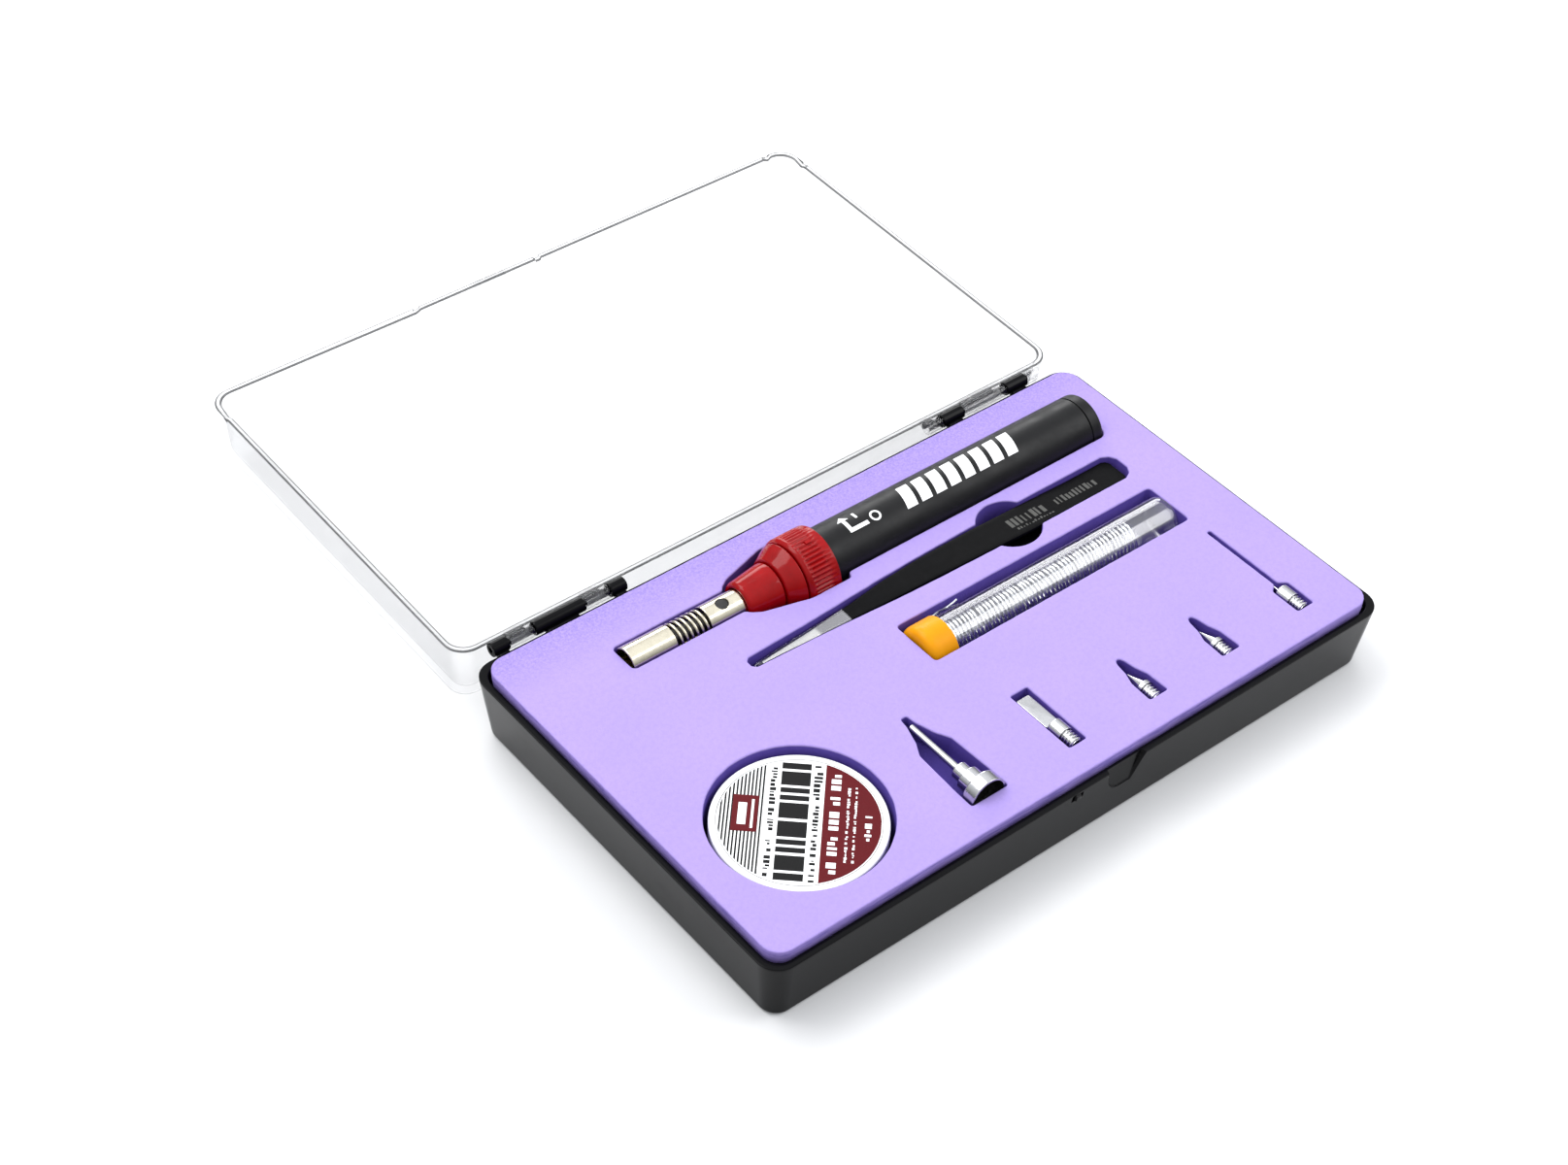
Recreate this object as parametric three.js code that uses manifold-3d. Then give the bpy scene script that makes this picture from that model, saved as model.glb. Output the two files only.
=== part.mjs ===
// Gas soldering iron kit in a hinged plastic case: the case with its clear lid and foam insert, a butane
// soldering iron, tweezers, a tube of solder, a jar of flux and five screw-in tips.
// Units are millimetres. +X runs along the hinge, +Y goes from the latch side to the hinge side and +Z is
// up. The origin is the middle of the case's underside. The lid lies open behind the case.

import * as THREE from "three";
import { mergeVertices } from "three/addons/utils/BufferGeometryUtils.js";
import Module from "manifold-3d";

const wasm = await Module();
wasm.setup();

// ---- Clearances ----
const REST_GAP = 0.3; // between two pieces that touch on the real kit
const RUN_GAP = 0.3; // between two pieces that turn on each other
const POCKET_GAP = 0.4; // between a tool and the wall of its pocket

// ---- Case base ----
const CASE_LENGTH = 200;
const CASE_DEPTH = 120;
const BASE_HEIGHT = 19.3;
const CASE_WALL = 2;
const CASE_FLOOR = 2;
const CASE_DRAFT = 2.25; // how much narrower each side is at the floor than at the rim
const CORNER_RADIUS = 6;
const FOOT_RADIUS = 1.5;
const NOTCH_WIDTH = 12; // thumb notch in the front wall
const NOTCH_DROP = 8.1;
const NOTCH_DEPTH = 1.2;
const NOTCH_X = 9.3;
const LATCH_X = -7;
const CATCH_WIDTH = 1.7;
const CATCH_HEIGHT = 1.6;
const CATCH_TOP_DROP = 0.9;
const CATCH_PROUD = 0.45;
const SLOT_WIDTH = 0.9;

// ---- Case lid ----
const LID_HEIGHT = 18;
const LID_WALL = 1.6;
const LID_DRAFT = 1.4;
const LID_TILT = 1.455; // degrees short of lying flat, when fully open
const TAB_FOOT_WIDTH = 11;
const TAB_WIDTH = 4.4;
const TAB_RISE = 6;
const TAB_SHOULDER = 2.6;
const TAB_THICK = 1;
const TAB_STANDOFF = 0.85;
const TAB_ROOT = 4;
const RIM_NOTCH_WIDTH = 1.6;
const RIM_NOTCH_DROP = 0.7;

// ---- Hinge ----
const HINGE_GAP = 5.4; // between the back wall of the base and the near wall of the open lid
const HINGE_SPREAD = 71.3; // middle of each hinge group from the middle of the case
const KNUCKLE_RADIUS = 1.95;
const KNUCKLE_LONG = 15.2;
const KNUCKLE_MID = 7.4;
const KNUCKLE_SHORT = 4.8;
const PIN_RADIUS = 0.85;
const PIN_REACH = 0.9;

// ---- Foam insert ----
const FOAM_PROUD = 2.5; // how far the foam stands above the rim of the base
const FOAM_SIDE_GAP = 0.5;
const FOAM_CORNER = 5;

// ---- Soldering iron: axis along X, tip end towards -X ----
const IRON_END_MARGIN = 13.4; // rear end of the iron from the right side of the case
const IRON_BACK_MARGIN = 21; // axis of the iron from the back of the case
const IRON_SINK = 2; // axis below the top of the foam
const BODY_RADIUS = 8.7;
const BODY_WALL = 1.2;
const BODY_LENGTH = 93.4;
const END_CAP_LENGTH = 3.7;
const SEAM_GAP = 0.3;
const RING_RADIUS = 10.6;
const RING_LENGTH = 9.7;
const RING_TEETH = 40;
const RING_TOOTH = 0.35;
const NECK_RADIUS = 6.6;
const SHOULDER_LENGTH = 4.9;
const NOSE_LENGTH = 10.4;
const NOSE_RADIUS = 6.9;
const BARREL_RADIUS = 4.2;
const BARREL_WALL = 0.6;
const BARREL_REAR_LENGTH = 11;
const SPRING_LENGTH = 10;
const SPRING_RADIUS = 3.2;
const SPRING_WIRE = 0.45;
const SPRING_TURNS = 5.5;
const SLEEVE_LENGTH = 13.5;
const AIR_HOLE_RADIUS = 1.7;
const AIR_HOLE_BACK = 5.6; // middle of the air hole ahead of the nose
const MIXER_RADIUS = 2.2;
const MIXER_BORE = 1.6;
const VALVE_RADIUS = 3.8;

// ---- Tweezers: lying flat, one arm above the other, tips towards -X ----
const TWEEZERS_END_MARGIN = 19.4;
const TWEEZERS_BACK_MARGIN = 41;
const TWEEZERS_LENGTH = 121;
const TWEEZERS_WIDTH = 9.2;
const ARM_THICK = 1.2;
const SPACER_THICK = 1;
const TWEEZERS_SINK = 3.6; // middle plane below the top of the foam
const ARM_BOW = 1.7; // how much further apart the arms are halfway than at the joined end
const GUARD_LENGTH = 29.5;
const GUARD_WALL = 0.45;
const GUARD_NOSE = 2.8; // closed end of the guard ahead of the points
const THUMB_HOLE_RADIUS = 8.8;
const THUMB_HOLE_BACK = 39; // middle of the finger notch from the joined end
const THUMB_HOLE_DEPTH = 11;

// ---- Tube of solder: axis along X, cap towards -X ----
const TUBE_END_MARGIN = 19.8;
const TUBE_BACK_MARGIN = 60.2;
const TUBE_LENGTH = 86.7;
const TUBE_RADIUS = 6.5;
const TUBE_WALL = 0.9;
const TUBE_SINK = 4.6;
const TUBE_CAP_LENGTH = 8.4;
const TUBE_CAP_WALL = 0.4;
const COIL_PLAY = 0.65; // between the coil and the wall of the tube, if the coil were in the middle
const COIL_WIRE = 1;
const COIL_LENGTH = 68;

// ---- Jar of flux ----
const JAR_SIDE_MARGIN = 33.7;
const JAR_FRONT_MARGIN = 32.5;
const JAR_RADIUS = 21.5;
const JAR_HEIGHT = 14;
const JAR_SINK = 1.8;
const JAR_LID_HEIGHT = 7;
const JAR_WALL = 1.3;
const LABEL_RADIUS = 19.6;
const LABEL_THICK = 0.25;
const JAR_EDGE = 1.5;

// ---- Tips: axes along Y, screw ends towards -Y ----
const TIP_FRONT_MARGIN = 11;
const TIP_JAR_GAP = 18.7; // axis of the first tip from the side of the jar
const TIP_END_MARGIN = 18.5;
const TIP_PLACES = [0, 0.264, 0.517, 0.751, 1];
const SCREW_RADIUS = 2.1;
const SCREW_LENGTH = 3.9;
const SCREW_TURNS = 4;
const SCREW_BORE = 1.2;
const COLLAR_RADIUS = 2.4;
const COLLAR_LENGTH = 4.3;
const HOOD_RADIUS = 5.3;
const HOOD_LENGTH = 3.7;
const HOOD_SINK = 0.9;
const BLOW_TUBE_RADIUS = 1.05;
const BLOW_TUBE_LENGTH = 17.4;
const BLOW_POCKET_SPARE = 2.6; // the pocket runs on past the nozzle's end
const BLADE_WIDTH = 4.2;
const BLADE_THICK = 0.8;
const BLADE_LENGTH = 11;
const BLADE_SINK = 1.4;
const CONE_LENGTH = 5.6;
const CONE_SINK = 2.2;
const NEEDLE_RADIUS = 0.4;
const NEEDLE_LENGTH = 26;
const NEEDLE_SINK = 1.7;

// ---- Sizes that follow from the others ----
const FOAM_TOP = BASE_HEIGHT + FOAM_PROUD;
const RIGHT = CASE_LENGTH / 2;
const BACK = CASE_DEPTH / 2;
const HINGE_Y = BACK + HINGE_GAP / 2;
const HINGE_Z = BASE_HEIGHT + REST_GAP / 2;

const IRON_Y = BACK - IRON_BACK_MARGIN;
const IRON_Z = FOAM_TOP - IRON_SINK;
const IRON_END = RIGHT - IRON_END_MARGIN;
const BODY_FRONT = IRON_END - BODY_LENGTH;
const RING_BACK = BODY_FRONT - RUN_GAP;
const RING_FRONT = RING_BACK - RING_LENGTH;
const SHOULDER_BACK = RING_FRONT - RUN_GAP;
const SHOULDER_FRONT = SHOULDER_BACK - SHOULDER_LENGTH;
const NOSE_BACK = SHOULDER_FRONT - REST_GAP;
const NOSE_FRONT = NOSE_BACK - NOSE_LENGTH;
const BARREL_FRONT = NOSE_FRONT - BARREL_REAR_LENGTH;
const SPRING_BACK = BARREL_FRONT - REST_GAP;
const SPRING_FRONT = SPRING_BACK - SPRING_LENGTH;
const SLEEVE_BACK = SPRING_FRONT - REST_GAP;
const SLEEVE_FRONT = SLEEVE_BACK - SLEEVE_LENGTH;
const IRON_FLOOR = IRON_Z - RING_RADIUS - REST_GAP;

const TWEEZERS_END = RIGHT - TWEEZERS_END_MARGIN;
const TWEEZERS_TIP = TWEEZERS_END - TWEEZERS_LENGTH;
const TWEEZERS_Y = BACK - TWEEZERS_BACK_MARGIN;
const TWEEZERS_Z = FOAM_TOP - TWEEZERS_SINK;
const ARM_OFFSET = SPACER_THICK / 2 + REST_GAP + ARM_THICK / 2;
const TWEEZERS_FLOOR = TWEEZERS_Z - ARM_OFFSET - ARM_BOW - ARM_THICK / 2 - REST_GAP;

const TUBE_END = RIGHT - TUBE_END_MARGIN;
const TUBE_CAP_END = TUBE_END - TUBE_LENGTH;
const TUBE_Y = BACK - TUBE_BACK_MARGIN;
const TUBE_Z = FOAM_TOP - TUBE_SINK;
const TUBE_CAP_RADIUS = TUBE_RADIUS + REST_GAP + TUBE_CAP_WALL;
const COIL_RADIUS = TUBE_RADIUS - TUBE_WALL - COIL_PLAY;

const JAR_X = JAR_SIDE_MARGIN - RIGHT;
const JAR_Y = JAR_FRONT_MARGIN - BACK;
const JAR_TOP = FOAM_TOP - JAR_SINK;
const JAR_BOTTOM = JAR_TOP - JAR_HEIGHT;

const TIP_Y = TIP_FRONT_MARGIN - BACK;
const FIRST_TIP_X = JAR_X + JAR_RADIUS + TIP_JAR_GAP;
const LAST_TIP_X = RIGHT - TIP_END_MARGIN;
const TIP_X = TIP_PLACES.map((t) => FIRST_TIP_X + t * (LAST_TIP_X - FIRST_TIP_X));

// ---- Materials ----
const PAINTS = {
  blackCase: [0x0b0b0c, 0.22, 0],
  clearLid: [0xe9eef2, 0.08, 0],
  foam: [0xb79cf0, 0.9, 0],
  blackBody: [0x1b1b1c, 0.45, 0],
  red: [0xa5080c, 0.18, 0],
  nickel: [0xd8d2bd, 0.25, 1],
  darkSteel: [0x4a4744, 0.45, 1],
  brass: [0xc39a45, 0.3, 1],
  rubber: [0x151515, 0.85, 0],
  wick: [0xe8e2d2, 0.9, 0],
  blackCoat: [0x141415, 0.4, 0],
  guard: [0xcfd3d6, 0.3, 0],
  clearTube: [0xe6ecef, 0.08, 0],
  orange: [0xf59a14, 0.4, 0],
  solder: [0xc9cacb, 0.28, 1],
  jarWhite: [0xf1f1ee, 0.35, 0],
  label: [0xefeeea, 0.5, 0],
  paste: [0xc8a86a, 0.5, 0],
  tipSteel: [0xd5d5d2, 0.22, 1],
};
const kit = new THREE.Group();
kit.name = "gas_soldering_kit";

function addNode(name, solid, paint) {
  const [color, roughness, metalness] = PAINTS[paint];
  const material = new THREE.MeshStandardMaterial({ color, roughness, metalness });
  if (paint === "clearLid" || paint === "clearTube" || paint === "guard") {
    material.transparent = true;
    material.opacity = 0.35;
  }
  const mesh = new THREE.Mesh(geometryOf(solid), material);
  mesh.name = name;
  kit.add(mesh);
}

// ---- From three.js geometry to a solid and back ----
function solidOf(geometry) {
  const loose = geometry.index ? geometry.toNonIndexed() : geometry.clone();
  const bare = new THREE.BufferGeometry();
  bare.setAttribute("position", loose.getAttribute("position"));
  const merged = mergeVertices(bare, 1e-4);
  const corners = merged.index.array;
  const kept = [];
  for (let i = 0; i < corners.length; i += 3) {
    const [a, b, c] = [corners[i], corners[i + 1], corners[i + 2]];
    if (a !== b && b !== c && c !== a) kept.push(a, b, c);
  }
  const vertProperties = merged.attributes.position.array;
  const made = manifoldOf(vertProperties, kept);
  if (made.volume() > 0) return made;
  for (let i = 0; i < kept.length; i += 3) {
    [kept[i + 1], kept[i + 2]] = [kept[i + 2], kept[i + 1]];
  }
  return manifoldOf(vertProperties, kept);
}

function manifoldOf(vertProperties, corners) {
  const triVerts = new Uint32Array(corners);
  return new wasm.Manifold(new wasm.Mesh({ numProp: 3, vertProperties, triVerts }));
}

function geometryOf(solid) {
  const mesh = solid.getMesh();
  const indexed = new THREE.BufferGeometry();
  indexed.setAttribute("position", new THREE.BufferAttribute(mesh.vertProperties, 3));
  indexed.setIndex(new THREE.BufferAttribute(mesh.triVerts, 1));
  const flat = indexed.toNonIndexed();
  flat.computeVertexNormals();
  return flat;
}

function joined(solids) {
  return solids.reduce((all, one) => all.add(one));
}

function cut(solid, tools) {
  return tools.reduce((left, tool) => left.subtract(tool), solid);
}

// ---- Shapes ----
// A box between two corners.
function box(x0, x1, y0, y1, z0, z1) {
  const geometry = new THREE.BoxGeometry(x1 - x0, y1 - y0, z1 - z0);
  geometry.translate((x0 + x1) / 2, (y0 + y1) / 2, (z0 + z1) / 2);
  return solidOf(geometry);
}

// A profile of [along, radius] pairs turned about a line through a point. A profile that leaves the axis
// at both ends is closed on itself, which makes a ring.
function turned(profile, axis, at, segments = 32) {
  const points = profile.map(([along, radius]) => new THREE.Vector2(radius, along));
  const first = points[0];
  const last = points[points.length - 1];
  if (first.x > 0 && last.x > 0) points.push(first.clone());
  const geometry = new THREE.LatheGeometry(points, segments);
  if (axis === "x") geometry.rotateZ(-Math.PI / 2);
  if (axis === "z") geometry.rotateX(Math.PI / 2);
  geometry.translate(at[0], at[1], at[2]);
  return solidOf(geometry);
}

function rod(from, to, radius, axis, at, segments = 32) {
  const profile = [
    [from, 0],
    [from, radius],
    [to, radius],
    [to, 0],
  ];
  return turned(profile, axis, at, segments);
}

function pipe(from, to, outer, inner, axis, at, segments = 32) {
  const profile = [
    [from, inner],
    [from, outer],
    [to, outer],
    [to, inner],
  ];
  return turned(profile, axis, at, segments);
}

function torus(at, radius, thick, axis) {
  const geometry = new THREE.TorusGeometry(radius, thick, 6, 20);
  if (axis === "x") geometry.rotateY(Math.PI / 2);
  geometry.translate(at[0], at[1], at[2]);
  return solidOf(geometry);
}

// A flat outline of [x, y] points carried straight up.
function prism(outline, z0, z1) {
  const shape = new THREE.Shape(outline.map(([x, y]) => new THREE.Vector2(x, y)));
  const geometry = new THREE.ExtrudeGeometry(shape, { depth: z1 - z0, bevelEnabled: false });
  geometry.translate(0, 0, z0);
  return solidOf(geometry);
}

// The outline of a rectangle with round corners, anticlockwise.
function roundedOutline(x0, x1, y0, y1, radius, steps = 6) {
  const outline = [];
  const corners = [
    [x1 - radius, y1 - radius, 0],
    [x0 + radius, y1 - radius, 1],
    [x0 + radius, y0 + radius, 2],
    [x1 - radius, y0 + radius, 3],
  ];
  for (const [cx, cy, quarter] of corners) {
    for (let i = 0; i <= steps; i += 1) {
      const angle = (quarter + i / steps) * (Math.PI / 2);
      outline.push([cx + radius * Math.cos(angle), cy + radius * Math.sin(angle)]);
    }
  }
  return outline;
}

// Rings of [x, y, z] points, the same number in each, joined in order and closed by a flat fan at each end.
function loft(rings) {
  const count = rings[0].length;
  const positions = rings.flat(2);
  const corners = [];
  for (let r = 0; r + 1 < rings.length; r += 1) {
    for (let i = 0; i < count; i += 1) {
      const a = r * count + i;
      const b = r * count + ((i + 1) % count);
      corners.push(a, b, b + count, a, b + count, a + count);
    }
  }
  closeRing(positions, corners, rings[0], 0, true);
  closeRing(positions, corners, rings[rings.length - 1], (rings.length - 1) * count, false);
  const geometry = new THREE.BufferGeometry();
  geometry.setAttribute("position", new THREE.Float32BufferAttribute(positions, 3));
  geometry.setIndex(corners);
  return solidOf(geometry);
}

function closeRing(positions, corners, ring, start, backwards) {
  const count = ring.length;
  const middle = positions.length / 3;
  const sum = ring.reduce((s, p) => [s[0] + p[0], s[1] + p[1], s[2] + p[2]], [0, 0, 0]);
  positions.push(sum[0] / count, sum[1] / count, sum[2] / count);
  for (let i = 0; i < count; i += 1) {
    const a = start + i;
    const b = start + ((i + 1) % count);
    if (backwards) corners.push(middle, b, a);
    else corners.push(middle, a, b);
  }
}

// A ring round a tray of the case's plan, set in by some amount.
function trayRing(inset, z, y0 = -BACK) {
  const radius = Math.max(CORNER_RADIUS - 0.6 * inset, 1.5);
  const outline = roundedOutline(inset - RIGHT, RIGHT - inset, y0 + inset, y0 + CASE_DEPTH - inset, radius);
  return outline.map(([x, y]) => [x, y, z]);
}

class Helix extends THREE.Curve {
  constructor(from, to, radius, turns, y, z) {
    super();
    Object.assign(this, { from, to, radius, turns, y, z });
  }
  getPoint(t) {
    const angle = t * this.turns * 2 * Math.PI;
    const x = this.from + t * (this.to - this.from);
    return new THREE.Vector3(
      x,
      this.y + this.radius * Math.cos(angle),
      this.z + this.radius * Math.sin(angle),
    );
  }
}

// A coil spring along X: a round wire carried along a helix.
function spring(from, to, radius, wire, turns, y, z, stepsPerTurn = 14) {
  const circle = new THREE.Shape();
  circle.absarc(0, 0, wire, 0, 2 * Math.PI);
  const path = new Helix(from, to, radius - wire, turns, y, z);
  const steps = Math.round(turns * stepsPerTurn);
  const options = { steps, extrudePath: path, bevelEnabled: false, curveSegments: 3 };
  return solidOf(new THREE.ExtrudeGeometry(circle, options));
}

// ---- Case ----
function draftAt(z) {
  return CASE_DRAFT * (1 - z / BASE_HEIGHT);
}

function knuckleSpans() {
  const half = KNUCKLE_LONG / 2;
  const mid = half + RUN_GAP;
  const short = mid + KNUCKLE_MID + RUN_GAP;
  const inner = [[-half, half]];
  const mids = [
    [-mid - KNUCKLE_MID, -mid],
    [mid, mid + KNUCKLE_MID],
  ];
  const outer = [
    [-short - KNUCKLE_SHORT, -short],
    [short, short + KNUCKLE_SHORT],
  ];
  return { odd: [...inner, ...outer], mids };
}

// Hinge barrels for one side of the hinge. At the left the base has the middle and the end barrels and
// the lid the two between, and at the right it is the other way round.
function knucklesOf(owner) {
  const { odd, mids } = knuckleSpans();
  const left = owner === "base" ? odd : mids;
  const right = owner === "base" ? mids : odd;
  const shift = (spans, by) => spans.map(([a, b]) => [a + by, b + by]);
  return [...shift(left, -HINGE_SPREAD), ...shift(right, HINGE_SPREAD)];
}

// A stub pin stands out of each end of a base barrel that faces a lid barrel.
function baseHinge() {
  const at = [0, HINGE_Y, HINGE_Z];
  const lidEnds = knucklesOf("lid").flat();
  const facesLid = (x) => lidEnds.some((end) => Math.abs(x - end) < 2 * RUN_GAP);
  const solids = [];
  for (const [a, b] of knucklesOf("base")) {
    const inset = (b - a) * 0.18;
    const pinFrom = facesLid(a) ? a - PIN_REACH : a;
    const pinTo = facesLid(b) ? b + PIN_REACH : b;
    solids.push(rod(a, b, KNUCKLE_RADIUS, "x", at, 20));
    solids.push(box(a + inset, b - inset, BACK - 1, HINGE_Y, HINGE_Z - KNUCKLE_RADIUS, BASE_HEIGHT));
    solids.push(rod(pinFrom, pinTo, PIN_RADIUS, "x", at, 12));
  }
  return joined(solids);
}

function thumbNotch() {
  const radius = NOTCH_WIDTH / 2;
  const bottom = BASE_HEIGHT - NOTCH_DROP;
  const outline = [[NOTCH_X + radius, BASE_HEIGHT + 1]];
  outline.push([NOTCH_X - radius, BASE_HEIGHT + 1]);
  for (let i = 0; i <= 10; i += 1) {
    const angle = Math.PI + (i / 10) * Math.PI;
    outline.push([NOTCH_X + radius * Math.cos(angle), bottom + radius + radius * Math.sin(angle)]);
  }
  const shape = new THREE.Shape(outline.map(([x, z]) => new THREE.Vector2(x, z)));
  const geometry = new THREE.ExtrudeGeometry(shape, { depth: NOTCH_DEPTH + 2, bevelEnabled: false });
  geometry.rotateX(Math.PI / 2);
  geometry.translate(0, NOTCH_DEPTH - BACK, 0);
  return solidOf(geometry);
}

function caseBase() {
  const outer = loft([
    trayRing(draftAt(0) + FOOT_RADIUS, 0),
    trayRing(draftAt(0) + 0.3 * FOOT_RADIUS, 0.3 * FOOT_RADIUS),
    trayRing(draftAt(FOOT_RADIUS), FOOT_RADIUS),
    trayRing(0, BASE_HEIGHT),
  ]);
  const inner = loft([
    trayRing(draftAt(CASE_FLOOR) + CASE_WALL + 0.8, CASE_FLOOR),
    trayRing(draftAt(CASE_FLOOR + 0.8) + CASE_WALL, CASE_FLOOR + 0.8),
    trayRing(draftAt(BASE_HEIGHT + 1) + CASE_WALL, BASE_HEIGHT + 1),
  ]);
  const top = BASE_HEIGHT - CATCH_TOP_DROP;
  const face = draftAt(top) - BACK;
  const half = CATCH_WIDTH / 2;
  const slots = [-1, 1].map((side) => {
    const x = LATCH_X + side * (half + SLOT_WIDTH / 2);
    return box(x - SLOT_WIDTH / 2, x + SLOT_WIDTH / 2, face - 2, face + 0.7, top - CATCH_HEIGHT, top);
  });
  const catchLug = box(LATCH_X - half, LATCH_X + half, -BACK - CATCH_PROUD, face + 1, top - CATCH_HEIGHT, top);
  const shell = cut(outer, [inner, thumbNotch(), ...slots]);
  return joined([shell, catchLug, baseHinge()]);
}

// The lid is made lying flat and open with the hinge axis as its own origin, then tilted into place.
function lidHinge() {
  const solids = [];
  for (const [a, b] of knucklesOf("lid")) {
    const inset = (b - a) * 0.14;
    const barrel = rod(a, b, KNUCKLE_RADIUS, "x", [0, 0, 0], 20);
    const top = -REST_GAP / 2;
    const web = box(a + inset, b - inset, 0, HINGE_GAP / 2 + 1, -KNUCKLE_RADIUS, top);
    const bore = rod(a - 1, b + 1, PIN_RADIUS + RUN_GAP, "x", [0, 0, 0], 12);
    solids.push(cut(barrel.add(web), [bore]));
  }
  return solids;
}

function lidTab() {
  const rim = -REST_GAP / 2;
  const wall = HINGE_GAP / 2 + CASE_DEPTH;
  const foot = TAB_FOOT_WIDTH / 2;
  const half = TAB_WIDTH / 2;
  const outline = [
    [-foot, rim - TAB_ROOT],
    [foot, rim - TAB_ROOT],
    [foot, rim],
    [half + 0.4, rim + TAB_SHOULDER],
    [half, rim + TAB_SHOULDER + 0.6],
    [half, rim + TAB_RISE - 0.8],
    [half - 0.8, rim + TAB_RISE],
    [-half + 0.8, rim + TAB_RISE],
    [-half, rim + TAB_RISE - 0.8],
    [-half, rim + TAB_SHOULDER + 0.6],
    [-half - 0.4, rim + TAB_SHOULDER],
    [-foot, rim],
  ];
  const shape = new THREE.Shape(outline.map(([x, z]) => new THREE.Vector2(x, z)));
  const geometry = new THREE.ExtrudeGeometry(shape, { depth: TAB_THICK, bevelEnabled: false });
  geometry.rotateX(Math.PI / 2);
  geometry.translate(LATCH_X, wall + TAB_STANDOFF + TAB_THICK, 0);
  const root = box(
    LATCH_X - foot,
    LATCH_X + foot,
    wall - 1,
    wall + TAB_STANDOFF + 0.2,
    rim - TAB_ROOT,
    rim - 0.6,
  );
  return solidOf(geometry).add(root);
}

function caseLid() {
  const rim = -REST_GAP / 2;
  const floor = rim - LID_HEIGHT;
  const near = HINGE_GAP / 2;
  const ring = (inset, z) => trayRing(inset, z, near);
  const outer = loft([
    ring(LID_DRAFT + FOOT_RADIUS, floor),
    ring(LID_DRAFT + 0.3 * FOOT_RADIUS, floor + 0.3 * FOOT_RADIUS),
    ring(LID_DRAFT * (1 - FOOT_RADIUS / LID_HEIGHT), floor + FOOT_RADIUS),
    ring(0, rim),
  ]);
  const inner = loft([
    ring(LID_DRAFT + LID_WALL + 0.8, floor + LID_WALL),
    ring(LID_DRAFT * (1 - 0.13) + LID_WALL, floor + LID_WALL + 0.8),
    ring(LID_WALL - LID_DRAFT / LID_HEIGHT, rim + 1),
  ]);
  const half = RIM_NOTCH_WIDTH / 2;
  const far = near + CASE_DEPTH;
  const low = rim - RIM_NOTCH_DROP;
  const backNotches = [0.46, -0.165, 0.04].map((part) => {
    const x = part * CASE_LENGTH;
    return box(x - half, x + half, far - LID_WALL - 1, far + 1, low, rim + 1);
  });
  const sideNotch = box(-RIGHT - 1, RIGHT + 1, far - 10 - half, far - 10 + half, low, rim + 1);
  const shell = cut(outer, [inner, ...backNotches, sideNotch]);
  const flat = joined([shell, ...lidHinge(), lidTab()]);
  const geometry = geometryOf(flat);
  geometry.rotateX(THREE.MathUtils.degToRad(LID_TILT));
  geometry.translate(0, HINGE_Y, HINGE_Z);
  return solidOf(geometry);
}

// ---- Foam insert and its pockets ----
function mirrored(edge, y) {
  const near = edge.map(([x, half]) => [x, y - half]);
  const far = edge.map(([x, half]) => [x, y + half]).reverse();
  return [...near, ...far];
}

function ironPocket() {
  const narrow = BARREL_RADIUS + POCKET_GAP;
  const wide = RING_RADIUS + POCKET_GAP;
  const body = BODY_RADIUS + POCKET_GAP;
  const edge = [
    [SLEEVE_FRONT - 0.8, narrow - 0.8],
    [SLEEVE_FRONT, narrow],
    [NOSE_FRONT - 1.2, narrow],
    [NOSE_FRONT - 0.4, narrow + 1.1],
    [NOSE_FRONT + 2, NOSE_RADIUS + POCKET_GAP],
    [RING_FRONT - 0.4, wide],
    [BODY_FRONT + 2.4, wide],
    [BODY_FRONT + 3, body],
    [IRON_END - 1, body],
    [IRON_END + 0.6, body - 1.6],
  ];
  return prism(mirrored(edge, IRON_Y), IRON_FLOOR, FOAM_TOP + 1);
}

function tweezersPocket() {
  const half = TWEEZERS_WIDTH / 2 + POCKET_GAP;
  const at = (fraction) => TWEEZERS_END - fraction * TWEEZERS_LENGTH;
  const edge = [
    [TWEEZERS_TIP - 4.2, 0.7],
    [TWEEZERS_TIP - 3.4, 1.7],
    [at(0.87), 2.6],
    [at(0.78), 3.2],
    [at(0.66), 4.1],
    [at(0.55), 4.6],
    [at(0.4), half],
    [TWEEZERS_END - 1.5, half],
    [TWEEZERS_END + 0.6, half - 1.2],
    [TWEEZERS_END + 1.6, half - 3],
  ];
  const slot = prism(mirrored(edge, TWEEZERS_Y), TWEEZERS_FLOOR, FOAM_TOP + 1);
  const x = TWEEZERS_END - THUMB_HOLE_BACK;
  const hole = rod(FOAM_TOP - THUMB_HOLE_DEPTH, FOAM_TOP + 1, THUMB_HOLE_RADIUS, "z", [x, TWEEZERS_Y, 0], 36);
  return slot.add(hole);
}

function tubePocket() {
  const half = TUBE_CAP_RADIUS + POCKET_GAP;
  const x0 = TUBE_CAP_END - 0.5;
  const outline = roundedOutline(x0, TUBE_END + 0.8, TUBE_Y - half, TUBE_Y + half, 1.6, 4);
  return prism(outline, TUBE_Z - TUBE_CAP_RADIUS - REST_GAP, FOAM_TOP + 1);
}

function jarPocket() {
  const at = [JAR_X, JAR_Y, 0];
  return rod(JAR_BOTTOM - REST_GAP, FOAM_TOP + 1, JAR_RADIUS + 1.2, "z", at, 56);
}

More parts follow.
